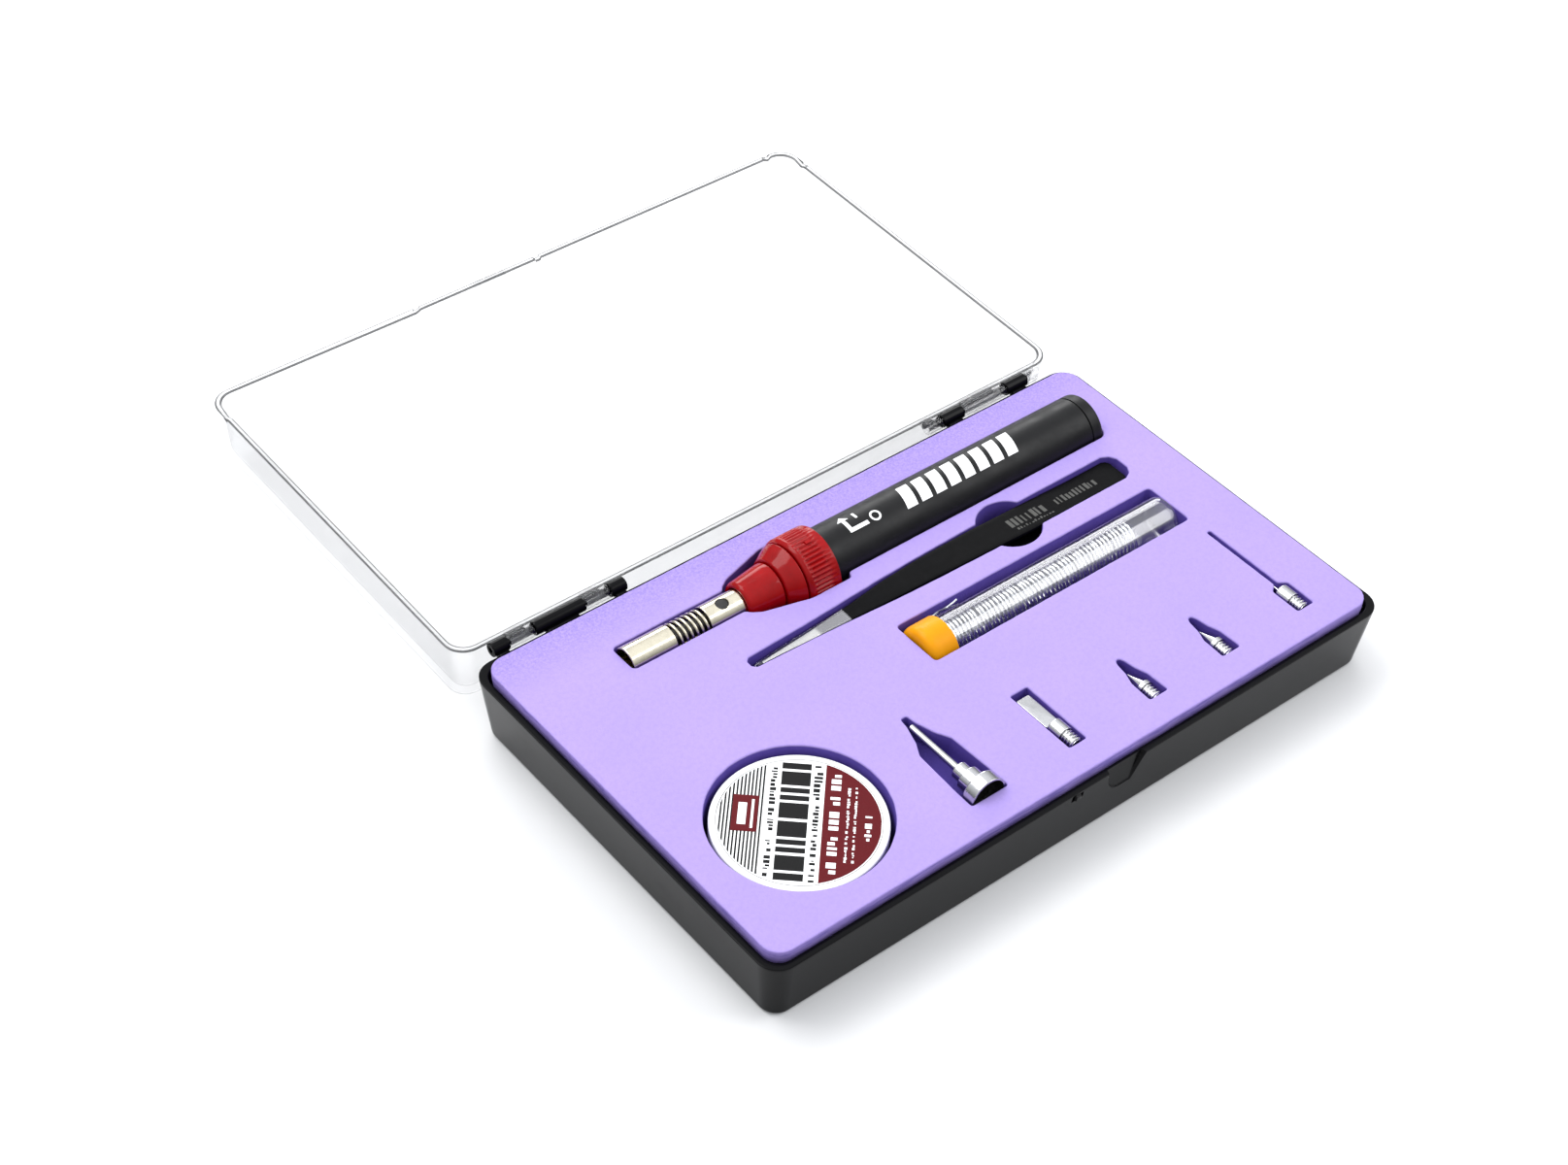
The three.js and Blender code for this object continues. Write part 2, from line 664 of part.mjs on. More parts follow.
// A tip's pocket: half widths at distances behind the screw end, about the tip's own axis.
function tipPocket(x, edge, depth) {
  const left = edge.map(([along, half]) => [x - half, TIP_Y + along]);
  const right = edge.map(([along, half]) => [x + half, TIP_Y + along]).reverse();
  return prism([...right, ...left], FOAM_TOP - depth, FOAM_TOP + 1);
}

function tipPockets() {
  const gap = POCKET_GAP;
  const hood = HOOD_RADIUS + gap;
  const blowLength = HOOD_LENGTH + 7.1 + BLOW_TUBE_LENGTH + BLOW_POCKET_SPARE;
  const screw = COLLAR_RADIUS + gap;
  const bladeLength = SCREW_LENGTH + COLLAR_LENGTH + BLADE_LENGTH;
  const coneLength = SCREW_LENGTH + 1.2 + CONE_LENGTH;
  const needleLength = SCREW_LENGTH + COLLAR_LENGTH + NEEDLE_LENGTH;
  const needle = NEEDLE_RADIUS + gap / 2;
  const blow = [
    [-gap, hood],
    [HOOD_LENGTH + 0.8, hood],
    [blowLength - 11.6, hood - 0.7],
    [blowLength - 8, 3],
    [blowLength - 2.6, 1.3],
    [blowLength + gap, 0.9],
  ];
  const blade = [
    [-gap, screw],
    [bladeLength + 1.8, screw],
  ];
  const cone = [
    [-gap, screw + 0.2],
    [SCREW_LENGTH + 2.4, screw],
    [coneLength - 1, 1.6],
    [coneLength + 2.6, 1.1],
    [coneLength + 3.8, 0.5],
  ];
  const pin = [
    [-gap, screw],
    [SCREW_LENGTH + COLLAR_LENGTH + gap, screw],
    [SCREW_LENGTH + COLLAR_LENGTH + 1.9, needle],
    [needleLength + gap, needle],
  ];
  return [
    tipPocket(TIP_X[0], blow, HOOD_SINK + HOOD_RADIUS + REST_GAP),
    tipPocket(TIP_X[1], blade, BLADE_SINK + COLLAR_RADIUS + REST_GAP),
    tipPocket(TIP_X[2], cone, CONE_SINK + COLLAR_RADIUS + REST_GAP),
    tipPocket(TIP_X[3], cone, CONE_SINK + COLLAR_RADIUS + REST_GAP),
    tipPocket(TIP_X[4], pin, NEEDLE_SINK + COLLAR_RADIUS + REST_GAP),
  ];
}

function foamInsert() {
  const low = CASE_FLOOR + REST_GAP;
  const side = CASE_WALL + FOAM_SIDE_GAP;
  const ring = (z) => {
    const inset = draftAt(Math.min(z, BASE_HEIGHT)) + side;
    const outline = roundedOutline(inset - RIGHT, RIGHT - inset, inset - BACK, BACK - inset, FOAM_CORNER);
    return outline.map(([x, y]) => [x, y, z]);
  };
  const block = loft([ring(low + 0.6), ring(BASE_HEIGHT), ring(FOAM_TOP)]);
  return cut(block, [ironPocket(), tweezersPocket(), tubePocket(), jarPocket(), ...tipPockets()]);
}

// ---- Soldering iron ----
const IRON_AT = [0, IRON_Y, IRON_Z];

function ironRod(from, to, radius, segments) {
  return rod(from, to, radius, "x", IRON_AT, segments);
}

function ironPipe(from, to, outer, inner, segments) {
  return pipe(from, to, outer, inner, "x", IRON_AT, segments);
}

function tankShell() {
  const inside = BODY_RADIUS - BODY_WALL;
  const back = IRON_END - END_CAP_LENGTH - SEAM_GAP;
  const neckFront = SHOULDER_BACK - 1.6;
  const bore = VALVE_RADIUS + REST_GAP;
  const profile = [
    [neckFront, NECK_RADIUS - 1.4],
    [neckFront, NECK_RADIUS],
    [BODY_FRONT, NECK_RADIUS],
    [BODY_FRONT, BODY_RADIUS - 0.4],
    [BODY_FRONT + 0.4, BODY_RADIUS],
    [back, BODY_RADIUS],
    [back, inside],
    [BODY_FRONT + 3.6, inside],
    [BODY_FRONT + 3.6, bore],
    [BODY_FRONT + 0.6, bore],
    [BODY_FRONT + 0.6, NECK_RADIUS - 1.4],
  ];
  return turned(profile, "x", IRON_AT, 32);
}

function endCap() {
  const front = IRON_END - END_CAP_LENGTH;
  const spigot = BODY_RADIUS - BODY_WALL - REST_GAP;
  const hole = 2.6;
  const profile = [
    [front - 5.4, hole],
    [front - 5.4, spigot],
    [front - 4, spigot],
    [front - 4, spigot - 1.1],
    [front - 2.2, spigot - 1.1],
    [front - 2.2, spigot],
    [front, spigot],
    [front, BODY_RADIUS],
    [IRON_END - 1.1, BODY_RADIUS],
    [IRON_END - 0.3, BODY_RADIUS - 0.4],
    [IRON_END, BODY_RADIUS - 1.3],
    [IRON_END, hole + 0.8],
    [IRON_END - 1.2, hole],
  ];
  return turned(profile, "x", IRON_AT, 32);
}

function fillValve() {
  const back = IRON_END - 0.9;
  const profile = [
    [IRON_END - END_CAP_LENGTH - 8.2, 1.3],
    [IRON_END - END_CAP_LENGTH - 8.2, 3.4],
    [IRON_END - END_CAP_LENGTH - 5.8, 3.4],
    [IRON_END - END_CAP_LENGTH - 5.8, 2.25],
    [back, 2.25],
    [back, 1.3],
  ];
  return turned(profile, "x", IRON_AT, 20);
}

function valveBody() {
  const front = BODY_FRONT - 10;
  const back = BODY_FRONT + 7.4;
  const profile = [
    [front, 1.9],
    [front, VALVE_RADIUS],
    [BODY_FRONT + 4, VALVE_RADIUS],
    [BODY_FRONT + 4, 5.2],
    [BODY_FRONT + 5.6, 5.2],
    [BODY_FRONT + 5.6, 3],
    [back, 3],
    [back, 1.9],
  ];
  return turned(profile, "x", IRON_AT, 24);
}

function valveStem() {
  const profile = [
    [BODY_FRONT - 12.4, 0],
    [BODY_FRONT - 12.4, 1],
    [BODY_FRONT - 4, 1],
    [BODY_FRONT - 4, 1.5],
    [BODY_FRONT - 2.6, 1.5],
    [BODY_FRONT - 0.6, 0.5],
    [BODY_FRONT + 1.6, 0],
  ];
  return turned(profile, "x", IRON_AT, 16);
}

function gasJet() {
  const front = SHOULDER_FRONT - 1.4;
  const profile = [
    [front, 0.35],
    [front, 1],
    [front + 1.4, 2.4],
    [front + 4, 2.4],
    [front + 4, 1.35],
    [front + 1.6, 1.35],
    [front + 1.2, 0.35],
  ];
  return turned(profile, "x", IRON_AT, 20);
}

function dialRing() {
  const bore = NECK_RADIUS + RUN_GAP;
  const flange = RING_BACK - 1.6;
  const chamfer = RING_FRONT + 0.8;
  const outline = [];
  for (let i = 0; i < RING_TEETH * 2; i += 1) {
    const angle = (i / RING_TEETH) * Math.PI;
    const radius = i % 2 ? RING_RADIUS - RING_TOOTH : RING_RADIUS;
    outline.push(new THREE.Vector2(radius * Math.cos(angle), radius * Math.sin(angle)));
  }
  const shape = new THREE.Shape(outline);
  const depth = flange - chamfer - 0.6;
  const geometry = new THREE.ExtrudeGeometry(shape, { depth, bevelEnabled: false });
  geometry.rotateY(Math.PI / 2);
  geometry.translate(chamfer + 0.3, IRON_Y, IRON_Z);
  const core = turned(
    [
      [RING_FRONT, 0],
      [RING_FRONT, RING_RADIUS - 0.7],
      [chamfer, RING_RADIUS],
      [chamfer + 0.3, RING_RADIUS],
      [chamfer + 0.3, RING_RADIUS - 0.6],
      [flange - 0.3, RING_RADIUS - 0.6],
      [flange - 0.3, RING_RADIUS],
      [RING_BACK - 0.3, RING_RADIUS],
      [RING_BACK, RING_RADIUS - 0.3],
      [RING_BACK, 0],
    ],
    "x",
    IRON_AT,
    40,
  );
  const hollow = ironRod(RING_FRONT + 3.2, RING_BACK + 1, RING_RADIUS - 2, 40);
  const through = ironRod(RING_FRONT - 1, RING_BACK + 1, bore, 40);
  return cut(core.add(solidOf(geometry)), [hollow, through]);
}

function noseShoulder() {
  const neck = NECK_RADIUS + REST_GAP;
  const step = SHOULDER_BACK - 1.6 - REST_GAP;
  const bore = BARREL_RADIUS + REST_GAP;
  const profile = [
    [SHOULDER_FRONT, bore],
    [SHOULDER_FRONT, NOSE_RADIUS + 0.3],
    [SHOULDER_FRONT + 0.4, NOSE_RADIUS + 0.7],
    [SHOULDER_FRONT + 2.8, RING_RADIUS - 1.4],
    [SHOULDER_BACK - 0.6, RING_RADIUS - 0.6],
    [SHOULDER_BACK, RING_RADIUS - 0.8],
    [SHOULDER_BACK, neck],
    [step, neck],
    [step, bore],
  ];
  return turned(profile, "x", IRON_AT, 32);
}

function noseTip() {
  const bore = BARREL_RADIUS + REST_GAP;
  const profile = [
    [NOSE_FRONT, bore],
    [NOSE_FRONT, bore + 0.7],
    [NOSE_FRONT + 0.8, bore + 1.4],
    [NOSE_FRONT + 2.2, NOSE_RADIUS - 0.4],
    [NOSE_FRONT + 4, NOSE_RADIUS],
    [NOSE_BACK - 0.6, NOSE_RADIUS],
    [NOSE_BACK, NOSE_RADIUS - 0.5],
    [NOSE_BACK, bore],
  ];
  return turned(profile, "x", IRON_AT, 32);
}

function barrelRear() {
  const inner = BARREL_RADIUS - BARREL_WALL;
  const tube = ironPipe(BARREL_FRONT, SHOULDER_FRONT + 2.6, BARREL_RADIUS, inner, 32);
  const x = NOSE_FRONT - AIR_HOLE_BACK;
  const hole = rod(IRON_Z, IRON_Z + BARREL_RADIUS + 1, AIR_HOLE_RADIUS, "z", [x, IRON_Y, 0], 16);
  return cut(tube, [hole]);
}

function mixingTube() {
  return ironPipe(SLEEVE_BACK - 0.6, SHOULDER_FRONT - 2, MIXER_RADIUS, MIXER_BORE, 20);
}

function barrelSleeve() {
  return ironPipe(SLEEVE_FRONT, SLEEVE_BACK, BARREL_RADIUS, BARREL_RADIUS - BARREL_WALL, 32);
}

function tipSocket() {
  const outer = BARREL_RADIUS - BARREL_WALL - REST_GAP;
  const front = SLEEVE_BACK - 6;
  const back = SLEEVE_BACK - 0.9;
  const profile = [
    [front, SCREW_RADIUS + 0.3],
    [front, outer],
    [back, outer],
    [back, 1.4],
    [back - 1, 1.4],
    [back - 1, SCREW_RADIUS + 0.3],
  ];
  return turned(profile, "x", IRON_AT, 24);
}

function addIron() {
  const capFront = IRON_END - END_CAP_LENGTH;
  const spigot = BODY_RADIUS - BODY_WALL - REST_GAP;
  const sealAt = (x) => [x, IRON_Y, IRON_Z];
  addNode("iron_tank_shell", tankShell(), "blackBody");
  addNode("iron_end_cap", endCap(), "blackBody");
  addNode("iron_end_seal", torus(sealAt(capFront - 3.1), spigot - 0.4, 0.4, "x"), "rubber");
  addNode("iron_fill_valve", fillValve(), "brass");
  addNode("iron_fill_stem", ironRod(capFront - 7.4, IRON_END - 1.4, 0.9, 12), "brass");
  addNode("iron_valve_body", valveBody(), "brass");
  addNode("iron_valve_seal", torus(sealAt(BODY_FRONT + 6.3), 3.9, 0.5, "x"), "rubber");
  addNode("iron_valve_stem", valveStem(), "brass");
  const springPlace = [BODY_FRONT - 9.4, BODY_FRONT - 4.9];
  addNode("iron_valve_spring", spring(...springPlace, 1.75, 0.2, 5, IRON_Y, IRON_Z, 8), "darkSteel");
  addNode("iron_gas_wick", ironRod(BODY_FRONT + 2.2, BODY_FRONT + 52, 1.5, 12), "wick");
  addNode("iron_gas_jet", gasJet(), "brass");
  addNode("iron_dial_ring", dialRing(), "red");
  addNode("iron_nose_shoulder", noseShoulder(), "red");
  addNode("iron_nose_tip", noseTip(), "red");
  addNode("iron_mixing_tube", mixingTube(), "darkSteel");
  addNode("iron_barrel_rear", barrelRear(), "nickel");
  const coil = [SPRING_FRONT + SPRING_WIRE, SPRING_BACK - SPRING_WIRE, SPRING_RADIUS, SPRING_WIRE];
  addNode("iron_barrel_spring", spring(...coil, SPRING_TURNS, IRON_Y, IRON_Z), "nickel");
  addNode("iron_barrel_sleeve", barrelSleeve(), "nickel");
  addNode("iron_tip_socket", tipSocket(), "brass");
}

// ---- Tweezers ----
// One arm as stations of [distance from the joined end, half width, offset from the middle plane, half
// thickness], joined by a loft of oblong sections.
function armStations() {
  const length = TWEEZERS_LENGTH;
  const half = TWEEZERS_WIDTH / 2;
  const thick = ARM_THICK / 2;
  return [
    [0, half - 1.4, ARM_OFFSET, thick],
    [0.5, half - 0.5, ARM_OFFSET, thick],
    [1.4, half, ARM_OFFSET, thick],
    [0.12 * length, half, ARM_OFFSET, thick],
    [0.24 * length, half, ARM_OFFSET + 0.35 * ARM_BOW, thick],
    [0.4 * length, half - 0.1, ARM_OFFSET + 0.8 * ARM_BOW, thick],
    [0.55 * length, 0.88 * half, ARM_OFFSET + ARM_BOW, thick],
    [0.66 * length, 0.74 * half, ARM_OFFSET + 0.8 * ARM_BOW, thick],
    [0.76 * length, 0.5 * half, ARM_OFFSET + 0.35 * ARM_BOW, thick],
    [0.79 * length, 0.45 * half, ARM_OFFSET + 0.25 * ARM_BOW, thick],
    [0.87 * length, 0.28 * half, ARM_OFFSET + 0.05 * ARM_BOW, 0.45],
    [0.96 * length, 0.13 * half, ARM_OFFSET - 0.1, 0.4],
    [length, 0.07 * half, ARM_OFFSET - 0.3, 0.3],
  ];
}

function arm(side) {
  const rings = armStations().map(([along, half, offset, thick]) => {
    const x = TWEEZERS_END - along;
    const z = TWEEZERS_Z + side * offset;
    const edge = Math.min(0.25, half * 0.5);
    const low = thick * 0.5;
    const section = [
      [-half, -low],
      [-half + edge, -thick],
      [half - edge, -thick],
      [half, -low],
      [half, low],
      [half - edge, thick],
      [-half + edge, thick],
      [-half, low],
    ];
    return section.map(([y, dz]) => [x, TWEEZERS_Y + y, z + dz]);
  });
  return loft(rings);
}

function spacerPlate() {
  const x1 = TWEEZERS_END - 1.6;
  const half = TWEEZERS_WIDTH / 2 - 0.8;
  const outline = roundedOutline(x1 - 12, x1, TWEEZERS_Y - half, TWEEZERS_Y + half, 1, 3);
  return prism(outline, TWEEZERS_Z - SPACER_THICK / 2, TWEEZERS_Z + SPACER_THICK / 2);
}

// The tip guard is a soft clear tube, flat at its mouth, that covers both points.
function guardRing(along, halfWidth, halfHeight) {
  const radius = 0.45 * halfWidth;
  const outline = roundedOutline(-halfWidth, halfWidth, -halfHeight, halfHeight, radius, 3);
  return outline.map(([y, z]) => [TWEEZERS_TIP + along, TWEEZERS_Y + y, TWEEZERS_Z + z]);
}

function tipGuard() {
  const mouth = GUARD_LENGTH - GUARD_NOSE;
  const middle = 0.42 * mouth;
  const stations = [
    [0.1 - GUARD_NOSE / 2, 0.7, 1.75],
    [middle, 1.6, 2.35],
    [mouth, 2.45, 2.85],
  ];
  const grown = stations.map(([along, w, h]) => guardRing(along, w + GUARD_WALL, h + GUARD_WALL));
  const outer = loft([guardRing(-GUARD_NOSE, 0.7, 1.5), ...grown]);
  const bore = stations.map(([along, w, h]) => guardRing(along, w, h));
  const inner = loft([...bore, guardRing(mouth + 1, 2.5, 2.9)]);
  return cut(outer, [inner]);
}

function addTweezers() {
  addNode("tweezers_upper_arm", arm(1), "blackCoat");
  addNode("tweezers_lower_arm", arm(-1), "blackCoat");
  addNode("tweezers_spacer", spacerPlate(), "darkSteel");
  addNode("tweezers_tip_guard", tipGuard(), "guard");
}

// ---- Tube of solder ----
function solderTube() {
  const open = TUBE_CAP_END + 1.6;
  const inner = TUBE_RADIUS - TUBE_WALL;
  const profile = [
    [open, inner],
    [open, TUBE_RADIUS],
    [TUBE_END - 2, TUBE_RADIUS],
    [TUBE_END - 0.6, TUBE_RADIUS - 0.6],
    [TUBE_END, TUBE_RADIUS - 2],
    [TUBE_END, 0],
    [TUBE_END - TUBE_WALL, 0],
    [TUBE_END - TUBE_WALL, inner - 1.4],
    [TUBE_END - TUBE_WALL - 1.4, inner],
  ];
  return turned(profile, "x", [0, TUBE_Y, TUBE_Z], 28);
}

function tubeCap() {
  const end = TUBE_CAP_END;
  const bore = TUBE_RADIUS + REST_GAP;
  const profile = [
    [end, 0],
    [end, TUBE_CAP_RADIUS - 1],
    [end + 0.3, TUBE_CAP_RADIUS - 0.3],
    [end + 1, TUBE_CAP_RADIUS],
    [end + TUBE_CAP_LENGTH - 0.2, TUBE_CAP_RADIUS],
    [end + TUBE_CAP_LENGTH, TUBE_CAP_RADIUS - 0.2],
    [end + TUBE_CAP_LENGTH, bore],
    [end + 1.3, bore],
    [end + 1.3, 0],
  ];
  return turned(profile, "x", [0, TUBE_Y, TUBE_Z], 28);
}

function solderCoil() {
  const inner = TUBE_RADIUS - TUBE_WALL;
  const z = TUBE_Z - (inner - COIL_RADIUS - REST_GAP);
  const from = TUBE_CAP_END + 7;
  return pipe(from, from + COIL_LENGTH, COIL_RADIUS, COIL_RADIUS - COIL_WIRE, "x", [0, TUBE_Y, z], 28);
}

// ---- Jar of flux ----
function jarBody() {
  const outer = JAR_RADIUS - JAR_WALL - REST_GAP;
  const inner = outer - JAR_WALL;
  const rim = JAR_TOP - JAR_WALL - REST_GAP;
  const shelf = JAR_TOP - JAR_LID_HEIGHT - REST_GAP;
  const profile = [
    [JAR_BOTTOM, 0],
    [JAR_BOTTOM, JAR_RADIUS - 1.2],
    [JAR_BOTTOM + 0.8, JAR_RADIUS - 0.4],
    [shelf, JAR_RADIUS - 0.4],
    [shelf, outer],
    [rim, outer],
    [rim, inner],
    [JAR_BOTTOM + JAR_WALL, inner],
    [JAR_BOTTOM + JAR_WALL, 0],
  ];
  return turned(profile, "z", [JAR_X, JAR_Y, 0], 40);
}

function jarLid() {
  const recess = LABEL_THICK + REST_GAP;
  const skirt = JAR_TOP - JAR_LID_HEIGHT;
  const inner = JAR_RADIUS - JAR_WALL;
  const profile = [
    [JAR_TOP - JAR_WALL, 0],
    [JAR_TOP - JAR_WALL, inner],
    [skirt, inner],
    [skirt, JAR_RADIUS],
    [JAR_TOP - JAR_EDGE, JAR_RADIUS],
    [JAR_TOP - 0.45 * JAR_EDGE, JAR_RADIUS - 0.15 * JAR_EDGE],
    [JAR_TOP - 0.12 * JAR_EDGE, JAR_RADIUS - 0.5 * JAR_EDGE],
    [JAR_TOP, JAR_RADIUS - JAR_EDGE],
    [JAR_TOP, LABEL_RADIUS + REST_GAP],
    [JAR_TOP - recess, LABEL_RADIUS + REST_GAP],
    [JAR_TOP - recess, 0],
  ];
  return turned(profile, "z", [JAR_X, JAR_Y, 0], 44);
}

function addJar() {
  const at = [JAR_X, JAR_Y, 0];
  const inner = JAR_RADIUS - 2 * JAR_WALL - REST_GAP;
  const low = JAR_BOTTOM + JAR_WALL + REST_GAP;
  addNode("flux_jar", jarBody(), "jarWhite");
  addNode("flux_jar_lid", jarLid(), "jarWhite");
  const labelTop = JAR_TOP - 0.02;
  addNode("flux_jar_label", rod(labelTop - LABEL_THICK, labelTop, LABEL_RADIUS, "z", at, 40), "label");
  addNode("flux_paste", rod(low, low + 8, inner - REST_GAP, "z", at, 32), "paste");
}

// ---- Tips ----
// The screw end of a tip, as profile points from its open end to where the thread stops.
function screwProfile() {
  const pitch = SCREW_LENGTH / SCREW_TURNS;
  const points = [[0, SCREW_BORE]];
  for (let i = 0; i < SCREW_TURNS; i += 1) {
    points.push([i * pitch + 0.05, SCREW_RADIUS - 0.35]);
    points.push([i * pitch + 0.5 * pitch, SCREW_RADIUS]);
  }
  return points;
}

function tipAt(index, sink) {
  return [TIP_X[index], TIP_Y, FOAM_TOP - sink];
}

function blowHood(at) {
  const step = HOOD_LENGTH + 4;
  const end = step + 3.1;
  const bore = BLOW_TUBE_RADIUS + REST_GAP;
  const profile = [
    [0, HOOD_RADIUS - 0.6],
    [0, HOOD_RADIUS],
    [HOOD_LENGTH - 0.4, HOOD_RADIUS],
    [HOOD_LENGTH, HOOD_RADIUS - 0.4],
    [HOOD_LENGTH, 3.3],
    [step, 3.3],
    [step, 2.4],
    [end, 2.4],
    [end, bore],
    [HOOD_LENGTH + 0.6, bore],
    [HOOD_LENGTH + 0.6, 2.2],
    [HOOD_LENGTH - 0.7, HOOD_RADIUS - 0.6],
  ];
  return turned(profile, "y", at, 24);
}

function screwBase(at, hole) {
  const end = SCREW_LENGTH + COLLAR_LENGTH;
  const profile = [
    ...screwProfile(),
    [SCREW_LENGTH, COLLAR_RADIUS],
    [end - 0.4, COLLAR_RADIUS],
    [end, COLLAR_RADIUS - 0.4],
    [end, hole],
    [SCREW_LENGTH, hole],
  ];
  return turned(profile, "y", at, 20);
}

function coneTip(at) {
  const flange = SCREW_LENGTH + 1.2;
  const profile = [
    ...screwProfile(),
    [SCREW_LENGTH, COLLAR_RADIUS],
    [flange, COLLAR_RADIUS],
    [flange + 0.1, 1.9],
    [flange + CONE_LENGTH - 0.3, 0.3],
    [flange + CONE_LENGTH, 0],
    [SCREW_LENGTH + 0.4, 0],
    [SCREW_LENGTH, SCREW_BORE],
  ];
  const points = [[SCREW_LENGTH + 0.4, 0], [SCREW_LENGTH, SCREW_BORE], ...profile.slice(0, -2)];
  return turned(points, "y", at, 20);
}

// The blade's round shank sits in the screw base and its flat end reaches out of it.
function blade(at) {
  const start = SCREW_LENGTH + COLLAR_LENGTH + 0.2;
  const half = BLADE_WIDTH / 2;
  const outline = [
    [at[0] - half, at[1] + start],
    [at[0] + half, at[1] + start],
    [at[0] + half, at[1] + start + BLADE_LENGTH],
    [at[0] - half, at[1] + start + BLADE_LENGTH],
  ];
  const flat = prism(outline, at[2] - BLADE_THICK / 2, at[2] + BLADE_THICK / 2);
  const shank = rod(SCREW_LENGTH + 1, start + 0.4, 1.1, "y", at, 16);
  return flat.add(shank);
}

function needle(at) {
  const start = SCREW_LENGTH + 1;
  const end = SCREW_LENGTH + COLLAR_LENGTH + NEEDLE_LENGTH;
  const profile = [
    [start, 0],
    [start, NEEDLE_RADIUS],
    [end - 1.6, NEEDLE_RADIUS],
    [end, 0],
  ];
  return turned(profile, "y", at, 14);
}

function addTips() {
  const blowAt = tipAt(0, HOOD_SINK);
  const blowFrom = HOOD_LENGTH + 1.2;
  const blowTo = HOOD_LENGTH + 7.1 + BLOW_TUBE_LENGTH;
  const blowTube = pipe(blowFrom, blowTo, BLOW_TUBE_RADIUS, 0.5, "y", blowAt, 16);
  addNode("blow_tip_hood", blowHood(blowAt), "tipSteel");
  addNode("blow_tip_tube", blowTube, "tipSteel");
  const bladeAt = tipAt(1, BLADE_SINK);
  addNode("blade_tip_base", screwBase(bladeAt, 1.1 + REST_GAP), "tipSteel");
  addNode("blade_tip_blade", blade(bladeAt), "tipSteel");
  addNode("cone_tip_a", coneTip(tipAt(2, CONE_SINK)), "tipSteel");
  addNode("cone_tip_b", coneTip(tipAt(3, CONE_SINK)), "tipSteel");
  const needleAt = tipAt(4, NEEDLE_SINK);
  addNode("needle_tip_base", screwBase(needleAt, NEEDLE_RADIUS + REST_GAP), "tipSteel");
  addNode("needle_tip_needle", needle(needleAt), "tipSteel");
}

addNode("case_base", caseBase(), "blackCase");
addNode("case_lid", caseLid(), "clearLid");
addNode("foam_insert", foamInsert(), "foam");
addIron();
addTweezers();
addNode("solder_tube", solderTube(), "clearTube");
addNode("solder_tube_cap", tubeCap(), "orange");
addNode("solder_coil", solderCoil(), "solder");
addJar();
addTips();

export default kit;
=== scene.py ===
"""Looks of a gas soldering iron kit: a hinged case with a clear lid, a foam insert and the tools in it.

Sizes are written in millimetres and go into the meshes in metres. +X runs along the hinge, +Y from the
latch side to the hinge side, +Z up. Each piece is a surface worked out on a grid of points.
"""

import math

import bmesh
import bpy
import numpy as np
from mathutils import Matrix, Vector
from mathutils.geometry import tessellate_polygon


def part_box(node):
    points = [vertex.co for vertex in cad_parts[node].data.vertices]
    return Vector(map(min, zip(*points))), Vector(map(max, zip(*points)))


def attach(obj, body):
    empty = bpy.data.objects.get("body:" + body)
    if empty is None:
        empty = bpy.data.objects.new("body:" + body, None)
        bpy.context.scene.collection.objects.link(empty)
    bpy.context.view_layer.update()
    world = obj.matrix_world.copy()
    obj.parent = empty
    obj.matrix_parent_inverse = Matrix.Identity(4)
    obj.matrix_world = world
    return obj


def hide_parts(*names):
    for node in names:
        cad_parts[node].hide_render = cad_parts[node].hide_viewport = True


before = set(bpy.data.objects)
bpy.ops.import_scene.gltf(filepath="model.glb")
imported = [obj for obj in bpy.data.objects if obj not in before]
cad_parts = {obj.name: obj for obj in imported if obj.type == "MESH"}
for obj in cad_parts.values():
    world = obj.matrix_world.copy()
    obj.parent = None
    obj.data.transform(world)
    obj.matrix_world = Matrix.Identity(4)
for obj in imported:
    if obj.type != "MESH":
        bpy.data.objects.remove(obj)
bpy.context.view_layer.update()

MM = 0.001
TURN = 2 * math.pi


# ---- Where the CAD puts things ----
def box_of(node):
    """Lowest and highest corner of a CAD node, in millimetres."""
    low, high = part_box(node)
    return np.array(low) / MM, np.array(high) / MM


def ends_of(node):
    """Where a CAD node starts and ends along X."""
    low, high = box_of(node)
    return low[0], high[0]


def middle_of(node):
    low, high = box_of(node)
    return (low + high) / 2


# ---- Profiles and outlines ----
def unit(vectors):
    return vectors / np.maximum(np.linalg.norm(vectors, axis=-1, keepdims=True), 1e-12)


def softened(points, radius, steps=4, closed=False):
    """A polyline whose corners become quadratic curves. A curve leaves and joins the two sides `radius` from
    the corner, or 0.4 of a short side, and one point just beyond each of its ends keeps the sides flat."""
    p = np.asarray(points, float)
    before, after = np.roll(p, 1, 0) - p, np.roll(p, -1, 0) - p
    shortest = np.minimum(np.linalg.norm(before, axis=1), np.linalg.norm(after, axis=1))
    reach = np.minimum(np.broadcast_to(radius, len(p)), 0.4 * shortest)[:, None]
    before, after = unit(before), unit(after)
    t = np.linspace(0, 1, steps + 1)[None, :, None]
    start, end = (p + before * reach)[:, None], (p + after * reach)[:, None]
    curve = (1 - t) ** 2 * start + 2 * t * (1 - t) * p[:, None] + t**2 * end
    lead = (p + before * reach * 1.2)[:, None]
    trail = (p + after * reach * 1.2)[:, None]
    rounded = np.concatenate([lead, curve, trail], 1)
    if closed:
        return rounded.reshape(-1, p.shape[1])
    return np.concatenate([p[:1], rounded[1:-1].reshape(-1, p.shape[1]), p[-1:]])


